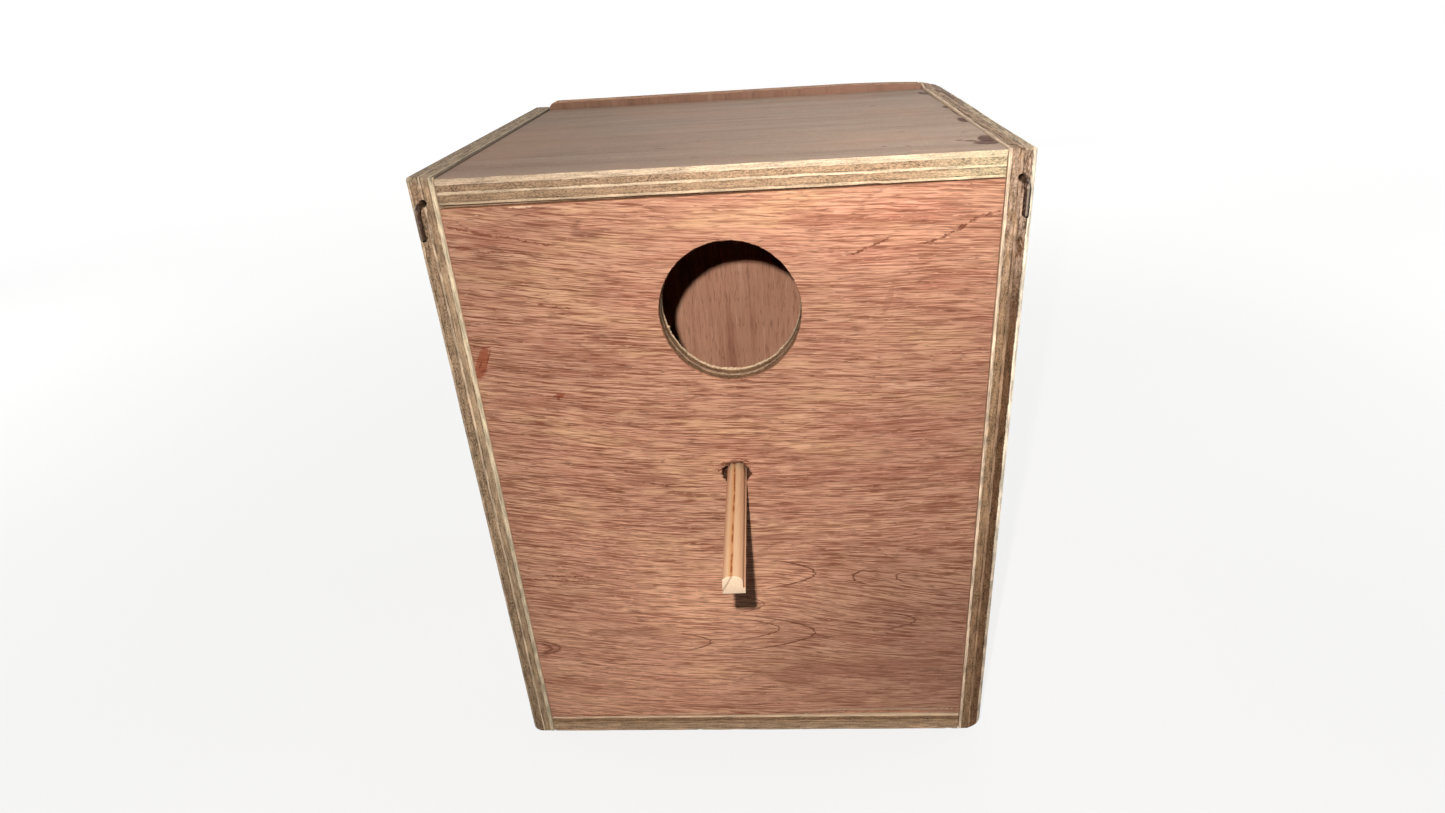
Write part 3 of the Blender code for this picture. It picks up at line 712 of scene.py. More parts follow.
def paint_front_veneer(name):
    """The front's reddish raw veneer: fine lines across, stepped ring lines and small dark marks, under broad
    painted light and shade.
    """
    paint = Paint(name, 0.12)
    x, z = paint.x, paint.z
    leaning = front_lean(x, z)
    wandering, broad, streak, fibre, pore = grain(x, leaning, 3.1, 5.0)
    paint.colour = paint.ramp(
        broad, ((0.28, FRONT_DARK), (0.46, FRONT_MIDDLE), (0.62, FRONT_MIDDLE), (0.80, FRONT_PALE))
    )
    paint.lay(FRONT_PALE, streak.ease(0.52, 0.78, 0.0, 0.22))
    paint.lay(FRONT_DARK, streak.ease(0.25, 0.46, 0.14, 0.0))
    warm = noise((x, leaning, 6.0), (42, 11), 3.0, 0.6) - x.ease_mm(0, 60, 0.0, 0.06)
    paint.lay(FRONT_YELLOW, warm.ease(0.48, 0.66, 0.0, 0.60))
    paint.lay(FRONT_RED, warm.ease(0.30, 0.46, 0.50, 0.0))
    paint.lay(FRONT_YELLOW, glow(x, z, (-2, 84), (62, 34)) * 0.22)
    paint.lay(FRONT_BASE, z.ease_mm(95, 160, 0.45, 0.0))

    # Fine dark and pale lines, calmer at the right and near the top
    calm = x.ease_mm(-20, 50, 0.0, 0.12) * z.ease_mm(60, 150, 0.3, 1.0)
    calm = calm + glow(x, z, (6, 236), (48, 16)) * 0.32
    gate = noise((x, leaning, 5.0), (24, 8)).ease(0.3, 0.6, 0.65, 1.0) * (1.0 - calm)
    dark_gate = gate * z.ease_mm(60, 110, 0.84, 1.0)
    pale_gate = gate * z.ease_mm(90, 150, 0.55, 1.0)
    darker = z.ease_mm(110, 180, 0.02, 0.0)
    ripple = noise((x, z, 2.0), (7, 4)) - 0.5
    rippled = wandering + ripple * (0.7 * MM)
    for spacing, length, strength, seed in FRONT_LINES:
        lines = noise((x, rippled, seed), (length, spacing), 1.0, 0.4) - darker
        paint.lay(FRONT_LINE, lines.ease(0.36, 0.48, strength, 0.0) * dark_gate)
        paint.lay(FRONT_PALE, lines.ease(0.52, 0.68, 0.0, strength * 0.48) * pale_gate)
    paint.lay(FRONT_PORE, pore * 0.55)
    rings = marks(arc, jogged(x, z, 30.0, 3.5), z, FRONT_ARCS)
    faint = ring_lines(jogged(x, z, 34.0, 8.0), leaning, 31.0, 7.5 * MM)
    paint.lay(FRONT_PORE, rings.math("MAXIMUM", faint * 0.5) * 0.92)
    paint.lay(FRONT_PALE, noise((x, z, 7.0), (3, 0.55), 1.0).ease(0.64, 0.76, 0.0, 0.55))

    # Broad painted light and shade, partly the veneer's own tone: lighter low down and at the upper right,
    # darker at the lower right, with the listed patches
    shade = noise((x, z, 9.0), (70, 50)).ease(0.3, 0.7, 0.97, 1.10) + z.ease_mm(110, 180, 0.11, 0.0)
    rightward = x.ease_mm(-10, 80)
    shade = shade + rightward * z.ease_mm(150, 240, 0.0, 0.18) - rightward * z.ease_mm(40, 170, 0.16, 0.0)
    for centre, reach, amount in FRONT_LIGHT_AND_TONE:
        shade = shade + glow(x, z, centre, reach) * amount
    paint.shade(shade)

    # Blotches, scratches and torn fibres
    paint.lay(FRONT_DARK, marks(blot, x, z, FRONT_BLOTCHES) * 0.40)
    paint.lay(FRONT_PATCH, marks(blot, x, z, FRONT_PATCHES) * 0.72)
    jag = noise((x, z, 8.0), (1.5, 0.9), 2.0, 0.6) - 0.5
    strokes = marks(stroke, x, z + ripple * (1.4 * MM) + jag * (1.8 * MM), FRONT_STROKES)
    broken = noise((x, z, 12.0), (2.2, 1.2), 2.0, 0.6)
    paint.lay(FRONT_CRACK, strokes * broken.ease(0.36, 0.54, 0.40, 0.80))
    # Painted shade in a ragged patch at the rim of the perch's hole
    paint.lay(HOLE_SHADE, blot(x, z, *PERCH_HOLE_RIM) * 0.8)
    paint.lay(FRONT_TORN, marks(stroke, x, z, FRONT_TEARS, rough=1.0) * 0.8)
    height = fibre * 0.45 + streak * 0.35 - pore * 0.5
    return paint.finish(streak.ease(0.3, 0.7, 0.66, 0.78), height, 0.10 * MM)


def paint_plain_veneer(name, along, colours, seed, wander=4.0, dusty=None, lid_gap_shaded=False):
    """A raw veneer whose grain runs along X (0) or Z (2), with dark, middle, pale and pore colours.

    dusty is the height where dust starts, the height above which it lies thick, and how thick it lies. A
    lid_gap_shaded veneer has painted shade on the inside beside the lid's gap.
    """
    paint = Paint(name, 0.12)
    x, y, z = axes = (paint.x, paint.y, paint.z)
    dark, middle, pale, pore_colour = colours
    _, broad, streak, fibre, pore = grain(axes[along], y + axes[2 - along], seed, wander)
    paint.colour = paint.ramp(broad, ((0.28, dark), (0.47, middle), (0.60, middle), (0.76, pale)))
    paint.lay(pale, streak.ease(0.52, 0.80, 0.0, 0.5))
    paint.lay(dark, streak.ease(0.22, 0.45, 0.5, 0.0))
    paint.shade(fibre.ease(0.25, 0.75, 0.90, 1.08))
    paint.lay(pore_colour, pore * 0.45)
    paint.shade(noise((x, y, z), (60, 60, 60)).ease(0.3, 0.7, 0.92, 1.06))
    if dusty:
        low, high, share = dusty
        paint.lay(paint.mix(x.ease_mm(-60, 90), DUST, DUST_RIGHT), z.ease_mm(low, high, 0.0, share))
    if lid_gap_shaded:
        # Painted shade in the gap beside the lid, on the sides' inner faces near the top, weaker on the right
        inside = abs(x).ease_mm(93, 96, 0.9, 0.0) * y.ease_mm(-78.6, -76.5) * x.ease_mm(-20, 20, 1.0, 0.25)
        paint.lay(LID_GAP_SHADE, inside * z.ease_mm(244, 247))
    height = fibre * 0.5 + streak * 0.3 - pore * 0.4
    return paint.finish(streak.ease(0.3, 0.7, 0.64, 0.76), height, 0.09 * MM)


def paint_roof(name, low, high):
    """The roof's greyed veneer: faint grain, soft stains, scratches, dashes and torn chips, cream below, with
    painted light and shade on its top.
    """
    paint = Paint(name, 0.06)
    x, y = paint.x, paint.y
    _, broad, streak, fibre, pore = grain(x, y, 21.0, 3.0)
    paint.colour = paint.ramp(broad, ((0.28, CREAM[0]), (0.5, CREAM[1]), (0.74, CREAM[2])))
    paint.lay(CREAM[3], streak.ease(0.22, 0.45, 0.5, 0.0))
    paint.shade(fibre.ease(0.25, 0.75, 0.90, 1.08))
    under = paint.colour

    paint.colour = paint.ramp(broad, ((0.10, ROOF_DARK), (0.5, ROOF_MIDDLE), (0.95, ROOF_PALE)))
    paint.lay(ROOF_PALE, streak.ease(0.5, 0.8, 0.0, 0.22))
    paint.lay(ROOF_DARK, streak.ease(0.2, 0.44, 0.22, 0.0))
    paint.shade(fibre.ease(0.25, 0.75, 0.95, 1.05))
    paint.lay(ROOF_PORE, pore * 0.12)
    paint.shade(noise((x, y, 5.0), (1.3, 0.9), 3.0, 0.7).ease(0.3, 0.7, 0.90, 1.10))
    cloud = noise((x, y, 4.0), (55, 40), 3.0)
    paint.lay(ROOF_WARM, cloud.ease(0.42, 0.66, 0.0, 0.5))
    # Painted light and shade: lighter towards the right and at the front right, darker at the rear right
    shade = x.ease(low[0], high[0], 0.90, 1.34) + glow(x, y, (68, -66), (46, 30)) * 0.14
    paint.shade(shade - glow(x, y, (80, 62), (44, 50)) * 0.24)
    grime = noise((x, y, 8.0), (5, 4), 3.0, 0.6)
    paint.shade(grime.ease(0.3, 0.7, 0.96, 1.03))
    strokes = marks(stroke, x, y, ROOF_STROKES)
    paint.lay(ROOF_PORE, strokes * 0.75)
    paint.lay(CREAM[1], marks(stroke, x, y, ROOF_FLECKS) * 0.7)
    torn = marks(blot, x, y, ROOF_CHIPS)
    paint.lay(paint.mix(grime.ease(0.4, 0.6), TORN_DARK, TORN_LIGHT), torn)
    paint.lay(TORN_DARK, marks(stroke, x, y, ROOF_CRACKS) * 0.85)

    on_top = paint.z.ease(high[2] - 4 * MM, high[2] - 2 * MM)
    paint.colour = paint.mix(on_top, under, paint.colour)
    height = fibre * 0.5 + streak * 0.3 - strokes * on_top * 0.7 - torn * on_top
    return paint.finish(cloud.ease(0.3, 0.7, 0.76, 0.86), height, 0.10 * MM)


def paint_ply_edge(board, dirt=0.5, light_slope=None, worn=None, lift=None, tint=None, hole=None, slits=()):
    """Sawn plywood: each ply's colour by its depth from the board's low side, with streaks or end grain.

    light_slope is the painted light and shade at the left and at the right. worn is (colour, share, depth of
    the inner face, painted shade along the lid's gap there) for a top that has greyed, lift is (colour,
    share, from height, to height, share low down) of the mottling towards its top, tint is a colour that the
    right end turns to, hole is the (x, z) of a hole with painted shade inside, and slits are dark strokes on
    a top whose outer rim is pale.
    """
    paint = Paint(f"{board.name}_ply_edge", 0.08)
    x, y, z = axes = [paint.x, paint.y, paint.z]
    depth = axes.pop(board.axis) - float(NODES[board.node][0][board.axis])
    first, second = axes
    sway = noise((first, second, len(board.name) + 2.0), (14, 14), 4.0, 0.6)
    jitter = noise((first, second, depth), (1.1, 1.1, 0.8))
    moved = depth + ((sway - 0.5) * (0.5 * MM) + (jitter - 0.5) * (0.45 * MM))
    total = board.plies[-1][0]
    place = moved / (total * MM)
    stops = []
    rough_stops = []
    start = 0.0
    for end, colour, rough in board.plies:
        for position in (max(0.0, (start + PLY_BLEND) / total), min(1.0, (end - PLY_BLEND) / total)):
            stops.append((position, colour))
            rough_stops.append((position, (rough, rough, rough, 1.0)))
        start = end
    paint.colour = paint.ramp(place, stops)
    if worn:
        paint.lay(worn[0], z.ease_mm(252, 254.6, 0.0, worn[1]))
    if tint:
        paint.lay(tint, x.ease_mm(55, 92, 0.0, 0.45))
    if hole:
        # Painted shade on the ply in and near the perch's hole
        paint.lay(HOLE_SHADE, glow(x, z, hole, (9, 9)).ease(0.3, 0.6, 0.0, 0.85))

    fine_streak = noise((first, second, moved), (9, 9, 0.24), 3.0, 0.65)
    streak = noise((first, second, moved), (16, 16, 0.55), 2.0, 0.6)
    speck = noise((first, second, depth), (1, 1, 0.46), 3.0, 0.7)
    grit = noise((first, second, depth), (0.4, 0.4, 0.3), 1.0)
    patch = noise((first, second, depth), (8, 8, 1.6), 3.0, 0.6)
    lengthwise = fine_streak.ease(0.28, 0.72, 0.66, 1.34) * streak.ease(0.3, 0.7, 0.86, 1.16)
    pitted = speck.ease(0.34, 0.60, 0.22, 1.46) * grit.ease(0.3, 0.7, 0.74, 1.26)
    rough_here = paint.ramp(place, rough_stops) * patch.ease(0.30, 0.62, 1.0, 0.5)
    shade = lengthwise + rough_here * (pitted - lengthwise)
    shade = shade * patch.ease(0.28, 0.66, 1.0 - 0.42 * dirt, 1.16)
    # Painted light and shade along X, from the share at the left to the share at the right
    if light_slope:
        shade = shade * x.ease_mm(-95, 70, *light_slope)
    if lift:
        lifted, share, low, high, low_share = lift
        mottle = noise((first, second, depth), (2.6, 3.4, 1.2), 3.0, 0.7)
        rise = z.ease_mm(low, high, 0.0, share) * z.ease_mm(253.6, 254.8, 1.0, 0.25) * mottle.ease(0.38, 0.60)
        inner = depth.ease_mm(0.8, 1.3) * depth.ease_mm(7.2, 7.6, 1.0, 0.0)
        paint.lay(lifted, rise * inner)
        low_down = z.ease_mm(70, 130, low_share, 0.0) * mottle.ease(0.30, 0.55, 0.4, 1.0)
        paint.lay(RIGHT_LOW, low_down * depth.ease_mm(0.9, 1.5))
    if slits:
        on_top = z.ease_mm(253.8, 254.6)
        rim = x.ease_mm(95.4, 97.0) * y.ease_mm(-5, 28, 0.50, 0.0)
        paint.lay(RIGHT_RIM, rim * on_top)
    paint.shade(shade)
    for boundary, *_ in board.plies[:-1]:
        line = abs(moved - boundary * MM).ease_mm(0.06, 0.26, 1.0, 0.0)
        gate = noise((first, second, boundary), (7, 7), 3.0, 0.6)
        paint.lay(GLUE_COLOUR, line * gate.ease(0.42, 0.62, 0.10, 0.45 + 0.45 * dirt))
    if worn:
        # Painted shade on a side's top along the lid's gap
        gap = abs(depth - worn[2] * MM).ease_mm(0.2, 0.9, worn[3], 0.0) * z.ease_mm(253.4, 254.5)
        paint.lay(LID_GAP_SHADE, gap * patch.ease(0.34, 0.56, 0.35, 1.0))
    if slits:
        paint.lay(SLIT_COLOUR, marks(stroke, x, y, slits) * on_top * 0.8)
    return paint.finish(0.82, speck * 0.7 + fine_streak * 0.5, 0.18 * MM)


def paint_perch(name):
    """The perch's pale planed pine, with an orange streak that runs its length, a line of painted shade in
    the groove by its right lip, and a ring on its end, which is painted lighter, partly as painted light.
    """
    paint = Paint(name, 0.3)
    x, y, z = paint.x, paint.y, paint.z
    _, broad, streak, fibre, _ = grain(y, x + z * 0.6, 41.0, 0.5)
    paint.colour = paint.ramp(broad, ((0.3, PERCH_MIDDLE), (0.7, PERCH_PALE)))
    paint.lay(PERCH_DARK, streak.ease(0.25, 0.48, 0.45, 0.0))
    paint.shade(fibre.ease(0.25, 0.75, 0.95, 1.04))
    local = x - PERCH_HOLE_X + (y - FRONT_MIDDLE_Y) * PERCH_LINE_SLOPE
    paint.lay(PERCH_TAN, local.ease_mm(0.8, 2.2, 0.0, 0.7) + local.ease_mm(-3.2, -1.9, 0.95, 0.0))
    sway = noise((y, x, 3.0), (22, 3))
    ring = local + (z - PERCH_STREAK_Z) * -0.55 - PERCH_STREAK_X + (sway - 0.5) * (0.7 * MM)
    paint.lay(PERCH_ORANGE, abs(ring + 0.25 * MM).ease_mm(0.3, 1.0, 0.75, 0.0))
    band = abs(ring).ease_mm(0.12, 0.50, 1.0, 0.0)
    blobs = noise((y, x, 5.0), (4.5, 2), 2.0, 0.6)
    paint.lay(PERCH_STREAK, band * blobs.ease(0.40, 0.56, 0.30, 1.0))
    # Painted shade of the groove along the perch's right lip
    groove = abs(local - PERCH_LIP_X).ease_mm(0.1, 0.4, 0.8, 0.0)
    paint.lay(PERCH_GROOVE_SHADE, groove * z.ease(PERCH_LIP_Z, PERCH_LIP_Z + 1.4 * MM, 1.0, 0.0))
    speck = noise((x, z, 1.0), (0.5, 0.5), 2.0, 0.6)
    # The end face's colour, painted lighter partly as painted light
    end_colour = paint.mix(speck.ease(0.35, 0.65), PERCH_END_LIT, PERCH_END_DARK)
    end_colour = paint.mix(band * 0.5, end_colour, PERCH_STREAK)
    paint.lay(end_colour, y.ease(PERCH_TIP_Y, PERCH_TIP_Y + 0.5 * MM, 1.0, 0.0))
    return paint.finish(0.5, fibre * 0.5 + streak * 0.3, 0.05 * MM)


def paint_block(name):
    """The nest block's raw softwood, with growth rings that show as long lines, and a turned hollow."""
    paint = Paint(name, 0.2)
    wandering, broad, streak, fibre, _ = grain(paint.x, paint.y + paint.z * 0.8, 51.0, 7.0)
    paint.colour = paint.ramp(broad, ((0.3, BLOCK_MIDDLE), (0.7, BLOCK_PALE)))
    waves = (wandering / (4.6 * MM)).math("FRACT")
    late = waves.ease(0.45, 0.92) * waves.ease(0.93, 0.99, 1.0, 0.0)
    paint.lay(BLOCK_DARK, late * 0.6)
    paint.shade(fibre.ease(0.25, 0.75, 0.93, 1.06))
    return paint.finish(streak.ease(0.3, 0.7, 0.6, 0.72), fibre * 0.5 + late * 0.4, 0.10 * MM)


def paint_wire(name):
    """Dark annealed wire, browned, with bright spots that are partly rubbed steel and partly painted
    highlight, and a painted highlight line down the front of each leg.
    """
    paint = Paint(name, 0.5, metallic=0.7)
    x, y, z = paint.x, paint.y, paint.z
    rub = noise((x, y, z), (0.7, 0.7, 0.9), 3.0, 0.6)
    paint.colour = paint.mix(rub.ease(0.56, 0.72, 0.0, 0.6), WIRE_DARK, WIRE_RUB_AND_HIGHLIGHT)
    # A painted highlight line down the front of each leg, stronger on the right hook
    line = abs(abs(x) - WIRE_HIGHLIGHT_X).ease_mm(0.12, 0.42, 1.0, 0.0)
    line = line * y.ease(WIRE_HIGHLIGHT_Y - 0.4 * MM, WIRE_HIGHLIGHT_Y, 1.0, 0.0)
    paint.lay(WIRE_RUB_AND_HIGHLIGHT, line * rub.ease(0.30, 0.50, 0.5, 1.0) * x.ease_mm(-50, 50, 0.40, 0.95))
    return paint.finish(rub.ease(0.35, 0.7, 0.42, 0.30), rub, 0.03 * MM)


def paint_nail(name):
    """Bright nail steel with dull spots."""
    paint = Paint(name, 0.5, metallic=1.0)
    spots = noise((paint.x, paint.y, paint.z), (0.5, 0.5, 0.5), 3.0, 0.6)
    paint.colour = paint.mix(spots.ease(0.40, 0.70), NAIL_PALE, NAIL_DULL)
    return paint.finish(spots.ease(0.3, 0.7, 0.28, 0.5), spots, 0.03 * MM)


# Board meshes

def grid_lines(low, high, step, extra=()):
    """Grid lines from low to high: close together at both ends, and about a step apart between them."""
    inner_low, inner_high = low + EDGE_OFFSETS[-1], high - EDGE_OFFSETS[-1]
    count = max(1, round((inner_high - inner_low) / step))
    lines = [low + offset for offset in EDGE_OFFSETS]
    lines += [high - offset for offset in EDGE_OFFSETS]
    lines += list(np.linspace(inner_low, inner_high, count + 1))
    lines += [line for line in extra if low < line < high]
    lines.sort()
    kept = [lines[0]]
    for line in lines[1:]:
        if line - kept[-1] > LEAST_GRID_GAP:
            kept.append(line)
    kept[-1] = high
    return np.array(kept)


def corner_inset(radius, distance):
    """How far a rounded corner draws the side in, at a distance from the corner's end."""
    reach = np.clip(radius - distance, 0, None)
    return radius - np.sqrt(np.clip(radius ** 2 - reach ** 2, 0, None))


def profile_distance(x, z, low, high, radii):
    """Distance inside a rounded rectangle (negative inside) and the outward direction, in X and Z."""
    centre_x, centre_z = (low + high) / 2
    side_x = np.where(x < centre_x, -1.0, 1.0)
    side_z = np.where(z < centre_z, -1.0, 1.0)
    bottom = np.where(side_x < 0, radii[0], radii[1])
    top = np.where(side_x < 0, radii[2], radii[3])
    radius = np.where(side_z < 0, bottom, top)
    reach_x = np.abs(x - centre_x) - (high[0] - low[0]) / 2 + radius
    reach_z = np.abs(z - centre_z) - (high[1] - low[1]) / 2 + radius
    corner = (reach_x > 0) & (reach_z > 0)
    length = np.hypot(np.clip(reach_x, 0, None), np.clip(reach_z, 0, None))
    distance = length + np.minimum(np.maximum(reach_x, reach_z), 0) - radius
    safe = np.where(length > 0, length, 1)
    along_x = reach_x > reach_z
    direction_x = np.where(corner, np.clip(reach_x, 0, None) / safe, along_x * 1.0) * side_x
    direction_z = np.where(corner, np.clip(reach_z, 0, None) / safe, ~along_x * 1.0) * side_z
    return distance, direction_x, direction_z


def surface_grid(xs, ys, zs):
    """The points and faces of a closed block whose faces are grids on the given lines."""
    nx, nz = len(xs), len(zs)
    grid_x, grid_z = np.meshgrid(xs, zs, indexing="ij")
    flat_x, flat_z = grid_x.ravel(), grid_z.ravel()
    points = [np.stack([flat_x, np.full(nx * nz, y), flat_z], axis=1) for y in (ys[0], ys[-1])]
    cell = np.arange(nx * nz).reshape(nx, nz)
    loop = np.concatenate([cell[:-1, 0], cell[-1, :-1], cell[:0:-1, -1], cell[0, :0:-1]])
    rim = points[0][loop]
    rings = [loop]
    start = 2 * nx * nz
    for y in ys[1:-1]:
        ring = rim.copy()
        ring[:, 1] = y
        points.append(ring)
        rings.append(start + np.arange(len(loop)))
        start += len(loop)
    rings.append(nx * nz + loop)
    front = np.stack([cell[:-1, :-1], cell[1:, :-1], cell[1:, 1:], cell[:-1, 1:]], axis=-1).reshape(-1, 4)
    faces = [front, front[:, ::-1] + nx * nz]
    for near, far in zip(rings, rings[1:]):
        faces.append(np.stack([near, far, np.roll(far, -1), np.roll(near, -1)], axis=1))
    return np.concatenate(points), np.concatenate(faces)


def make_piece(name, mesh, body, replaced):
    """A piece of the object, put on its body, with the node it replaces hidden."""
    piece = bpy.data.objects.new(name, mesh)
    bpy.context.scene.collection.objects.link(piece)
    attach(piece, body)
    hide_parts(replaced)
    return piece


def mesh_of(name, points, faces):
    """A mesh from arrays of points and faces."""
    mesh = bpy.data.meshes.new(name)
    mesh.from_pydata(points.tolist(), [], [list(face) for face in faces])
    return mesh


def read_vectors(items, field):
    """One vector of each of a mesh's items, as an array."""
    values = np.empty(len(items) * 3, dtype=np.float32)
    items.foreach_get(field, values)
    return values.reshape(-1, 3).astype(float)


def move_points(mesh, points):
    """Put a mesh's points at new places."""
    mesh.vertices.foreach_set("co", points.astype(np.float32).ravel())
    mesh.update()


def face_outward(mesh):
    """Turn all the faces of a closed mesh outward."""
    bm = bmesh.new()
    bm.from_mesh(mesh)
    bmesh.ops.recalc_face_normals(bm, faces=bm.faces)
    bm.to_mesh(mesh)
    bm.free()


def ply_relief(place, boundaries, seed):
    """How far a ply edge stands in at a place along, across and in its depth: glue lines and end grain."""
    depth = place[2]
    relief = np.zeros(depth.shape)
    for boundary in boundaries:
        relief += GLUE_SINK * np.exp(-((depth - boundary) / GLUE_WIDTH) ** 2)
    rough = (np.searchsorted(np.array(boundaries), depth) % 2 == 1).astype(float)
    relief += rough * ROUGH_SINK * bumps(place, (0.9, 0.9, 0.5), seed)
    relief += (1 - rough) * STREAK_SINK * bumps(place, (9, 9, 0.3), seed + 1)
    return relief + rough * PIT_SINK * smooth_step(0.74, 0.86, bumps(place, (2.2, 2.2, 0.8), seed + 2))


def make_board(board, name):
    """One board of the box, remade at its node's size."""
    boundaries = [ply[0] * MM for ply in board.plies[:-1]]
    low, high = [corner.copy() for corner in NODES[board.node]]
    high[2] -= board.lean
    extra = [[], [], []]
    for boundary in boundaries:
        extra[board.axis] += [low[board.axis] + boundary + offset for offset in GLUE_OFFSETS]
    for radius in board.radii:
        for angle in range(10, 90, 10):
            rise = radius * (1 - cos(radians(angle)))
            extra[2] += [low[2] + rise, high[2] - rise]
    points, faces = surface_grid(*[grid_lines(*settings) for settings in zip(low, high, board.steps, extra)])
    x, y, z = points.T
    left = low[0] + corner_inset(board.radii[0], z - low[2]) + corner_inset(board.radii[2], high[2] - z)
    right = high[0] - corner_inset(board.radii[1], z - low[2]) - corner_inset(board.radii[3], high[2] - z)
    x = left + (right - left) * (x - low[0]) / (high[0] - low[0])

    # The rounding of the edges, uneven with wear
    ease = EDGE_WEAR * (0.45 + 1.1 * bumps((x, y, z), (7, 7, 7), board.seed))
    distance, toward_x, toward_z = profile_distance(x, z, low[[0, 2]], high[[0, 2]], board.radii)
    from_end = np.minimum(y - low[1], high[1] - y)
    over_side = np.clip(ease + distance, 0, None)
    over_end = np.clip(ease - from_end, 0, None)
    length = np.hypot(over_side, over_end)
    round_here = (over_side > 0) & (over_end > 0)
    safe = np.where(length > 0, length, 1)
    inward = np.where(round_here, -ease + ease * over_side / safe - distance, 0)
    new_end = np.where(round_here, ease - ease * over_end / safe, from_end)
    x = x + toward_x * inward
    z = z + toward_z * inward
    y = np.where(y < (low[1] + high[1]) / 2, low[1] + new_end, high[1] - new_end)
    place = [x, y, z]
    points = np.stack(place, axis=1)
    mesh = mesh_of(name, points, faces)
    normals = read_vectors(mesh.vertices, "normal")

    # What is sunk along the normals: ply relief, nicks and gouges
    others = [value for number, value in enumerate(place) if number != board.axis]
    depth = place[board.axis] - low[board.axis]
    edge_share = smooth_step(0.35, 0.75, 1 - np.abs(normals[:, board.axis]))
    sink = edge_share * ply_relief((*others, depth), boundaries, board.seed)
    sink += NICK_SINK * smooth_step(0.86, 0.96, bumps(place, (3, 3, 3), board.seed + 5)) * round_here
    for gouge_place, gouge_reach, gouge_depth in board.gouges:
        sides = zip(place, gouge_place, gouge_reach)
        away = sum(((value - centre) / reach) ** 2 for value, centre, reach in sides)
        sink += gouge_depth * np.clip(1 - away, 0, 1)
    moved = points - normals * sink[:, None]
    share = (moved[:, 0] - low[0]) / (high[0] - low[0])
    forward = (high[1] - moved[:, 1]) / (high[1] - low[1])
    front, rear, right_end = board.spread
    moved[:, 2] += board.lean * share
    moved[:, 0] += right_end * share - (rear + (front - rear) * forward) * (1 - share)
    move_points(mesh, moved)
    return mesh


def turned_points(profile, sides, ragged=0.0, seed=0):
    """Rings of points about +Z from (radius, distance) pairs, with a ragged edge."""
    angles = 2 * pi * np.arange(sides) / sides
    rings = []
    for radius, distance in profile:
        wave, fine = [
            value_noise(
                np.cos(angles) * sides / spacing, np.sin(angles) * sides / spacing,
                distance / (height * MM), seed + number,
            ) - 0.5
            for number, (spacing, height) in enumerate(RAGGED_SPACINGS)
        ]
        reach = radius + ragged * (1.3 * wave + 0.9 * fine)
        ring = [reach * np.cos(angles), reach * np.sin(angles), np.full(sides, distance)]
        rings.append(np.stack(ring, axis=1))
    return rings


def closed_rings(rings):
    """Points and faces of a closed form through rings of points, with a middle point on each end."""
    sides = len(rings[0])
    points = np.concatenate(rings + [rings[0].mean(axis=0)[None], rings[-1].mean(axis=0)[None]])
    around = [(index, (index + 1) % sides) for index in range(sides)]
    faces = []
    for start in range(0, (len(rings) - 1) * sides, sides):
        faces += [(start + one, start + two, start + sides + two, start + sides + one) for one, two in around]
    first = len(rings) * sides
    start = first - sides
    for one, two in around:
        faces += [(two, one, first), (start + one, start + two, first + 1)]
    return points, faces


def placed_forms(forms):
    """Points and faces of several closed forms, each given as its rings and the matrix that places it."""
    points, faces = [], []
    start = 0
    for rings, matrix in forms:
        form_points, form_faces = closed_rings(rings)
        points.append(form_points @ np.array(matrix.to_3x3()).T + np.array(matrix.translation))
        faces += [tuple(index + start for index in face) for face in form_faces]
        start += len(form_points)
    return np.concatenate(points), faces


def cut_board(mesh, forms):
    """Take closed forms out of a board's mesh."""
    tool_mesh = mesh_of("cutter", *placed_forms(forms))
    face_outward(tool_mesh)
    board = bpy.data.objects.new("board_being_cut", mesh)
    tool = bpy.data.objects.new("cutter", tool_mesh)
    for item in (board, tool):
        bpy.context.scene.collection.objects.link(item)
    modifier = board.modifiers.new("holes", "BOOLEAN")
    modifier.operation = "DIFFERENCE"
    modifier.solver = "MANIFOLD"
    modifier.object = tool
    evaluated = board.evaluated_get(bpy.context.evaluated_depsgraph_get())
    result = bpy.data.meshes.new_from_object(evaluated)
    result.name = mesh.name
    for item in (board, tool):
        bpy.data.objects.remove(item, do_unlink=True)
    return result


def finish_board(mesh, axis, face_paint, edge_paint, low, high):
    """Shade a board smooth, with veneer on its two faces and ply on its edges and in its holes."""
    mesh.materials.clear()
    mesh.materials.append(face_paint)
    mesh.materials.append(edge_paint)
    normals = np.abs(read_vectors(mesh.polygons, "normal")[:, axis])
    centres = read_vectors(mesh.polygons, "center")[:, axis]
    depth = np.minimum(centres - low[axis], high[axis] - centres)
    veneer = (normals > 0.8) & (depth < VENEER_DEPTH)
    mesh.polygons.foreach_set("material_index", (~veneer).astype(np.int32))
    mesh.shade_smooth()
    mesh.set_sharp_from_angle(angle=SMOOTH_LIMIT)
    mesh.update()


def finish_mesh(mesh, paint, limit=SMOOTH_LIMIT):
    """Face a mesh outward, shade it smooth and give it one paint."""
    face_outward(mesh)
    mesh.materials.clear()
    mesh.materials.append(paint)
    mesh.shade_smooth()
    mesh.set_sharp_from_angle(angle=limit)


# Openings and wear of the boards

def nail_matrix(name):
    """Places a form made along +Z at a nail's head, pointing into the wood."""
    low, high = NODES[name]
    side = -1 if "left" in name else 1
    _, y, z = (low + high) / 2
    head_x = high[0] if side > 0 else low[0]
    return Matrix.Translation((head_x, y, z)) @ Matrix.Rotation(-side * pi / 2, 4, "Y")


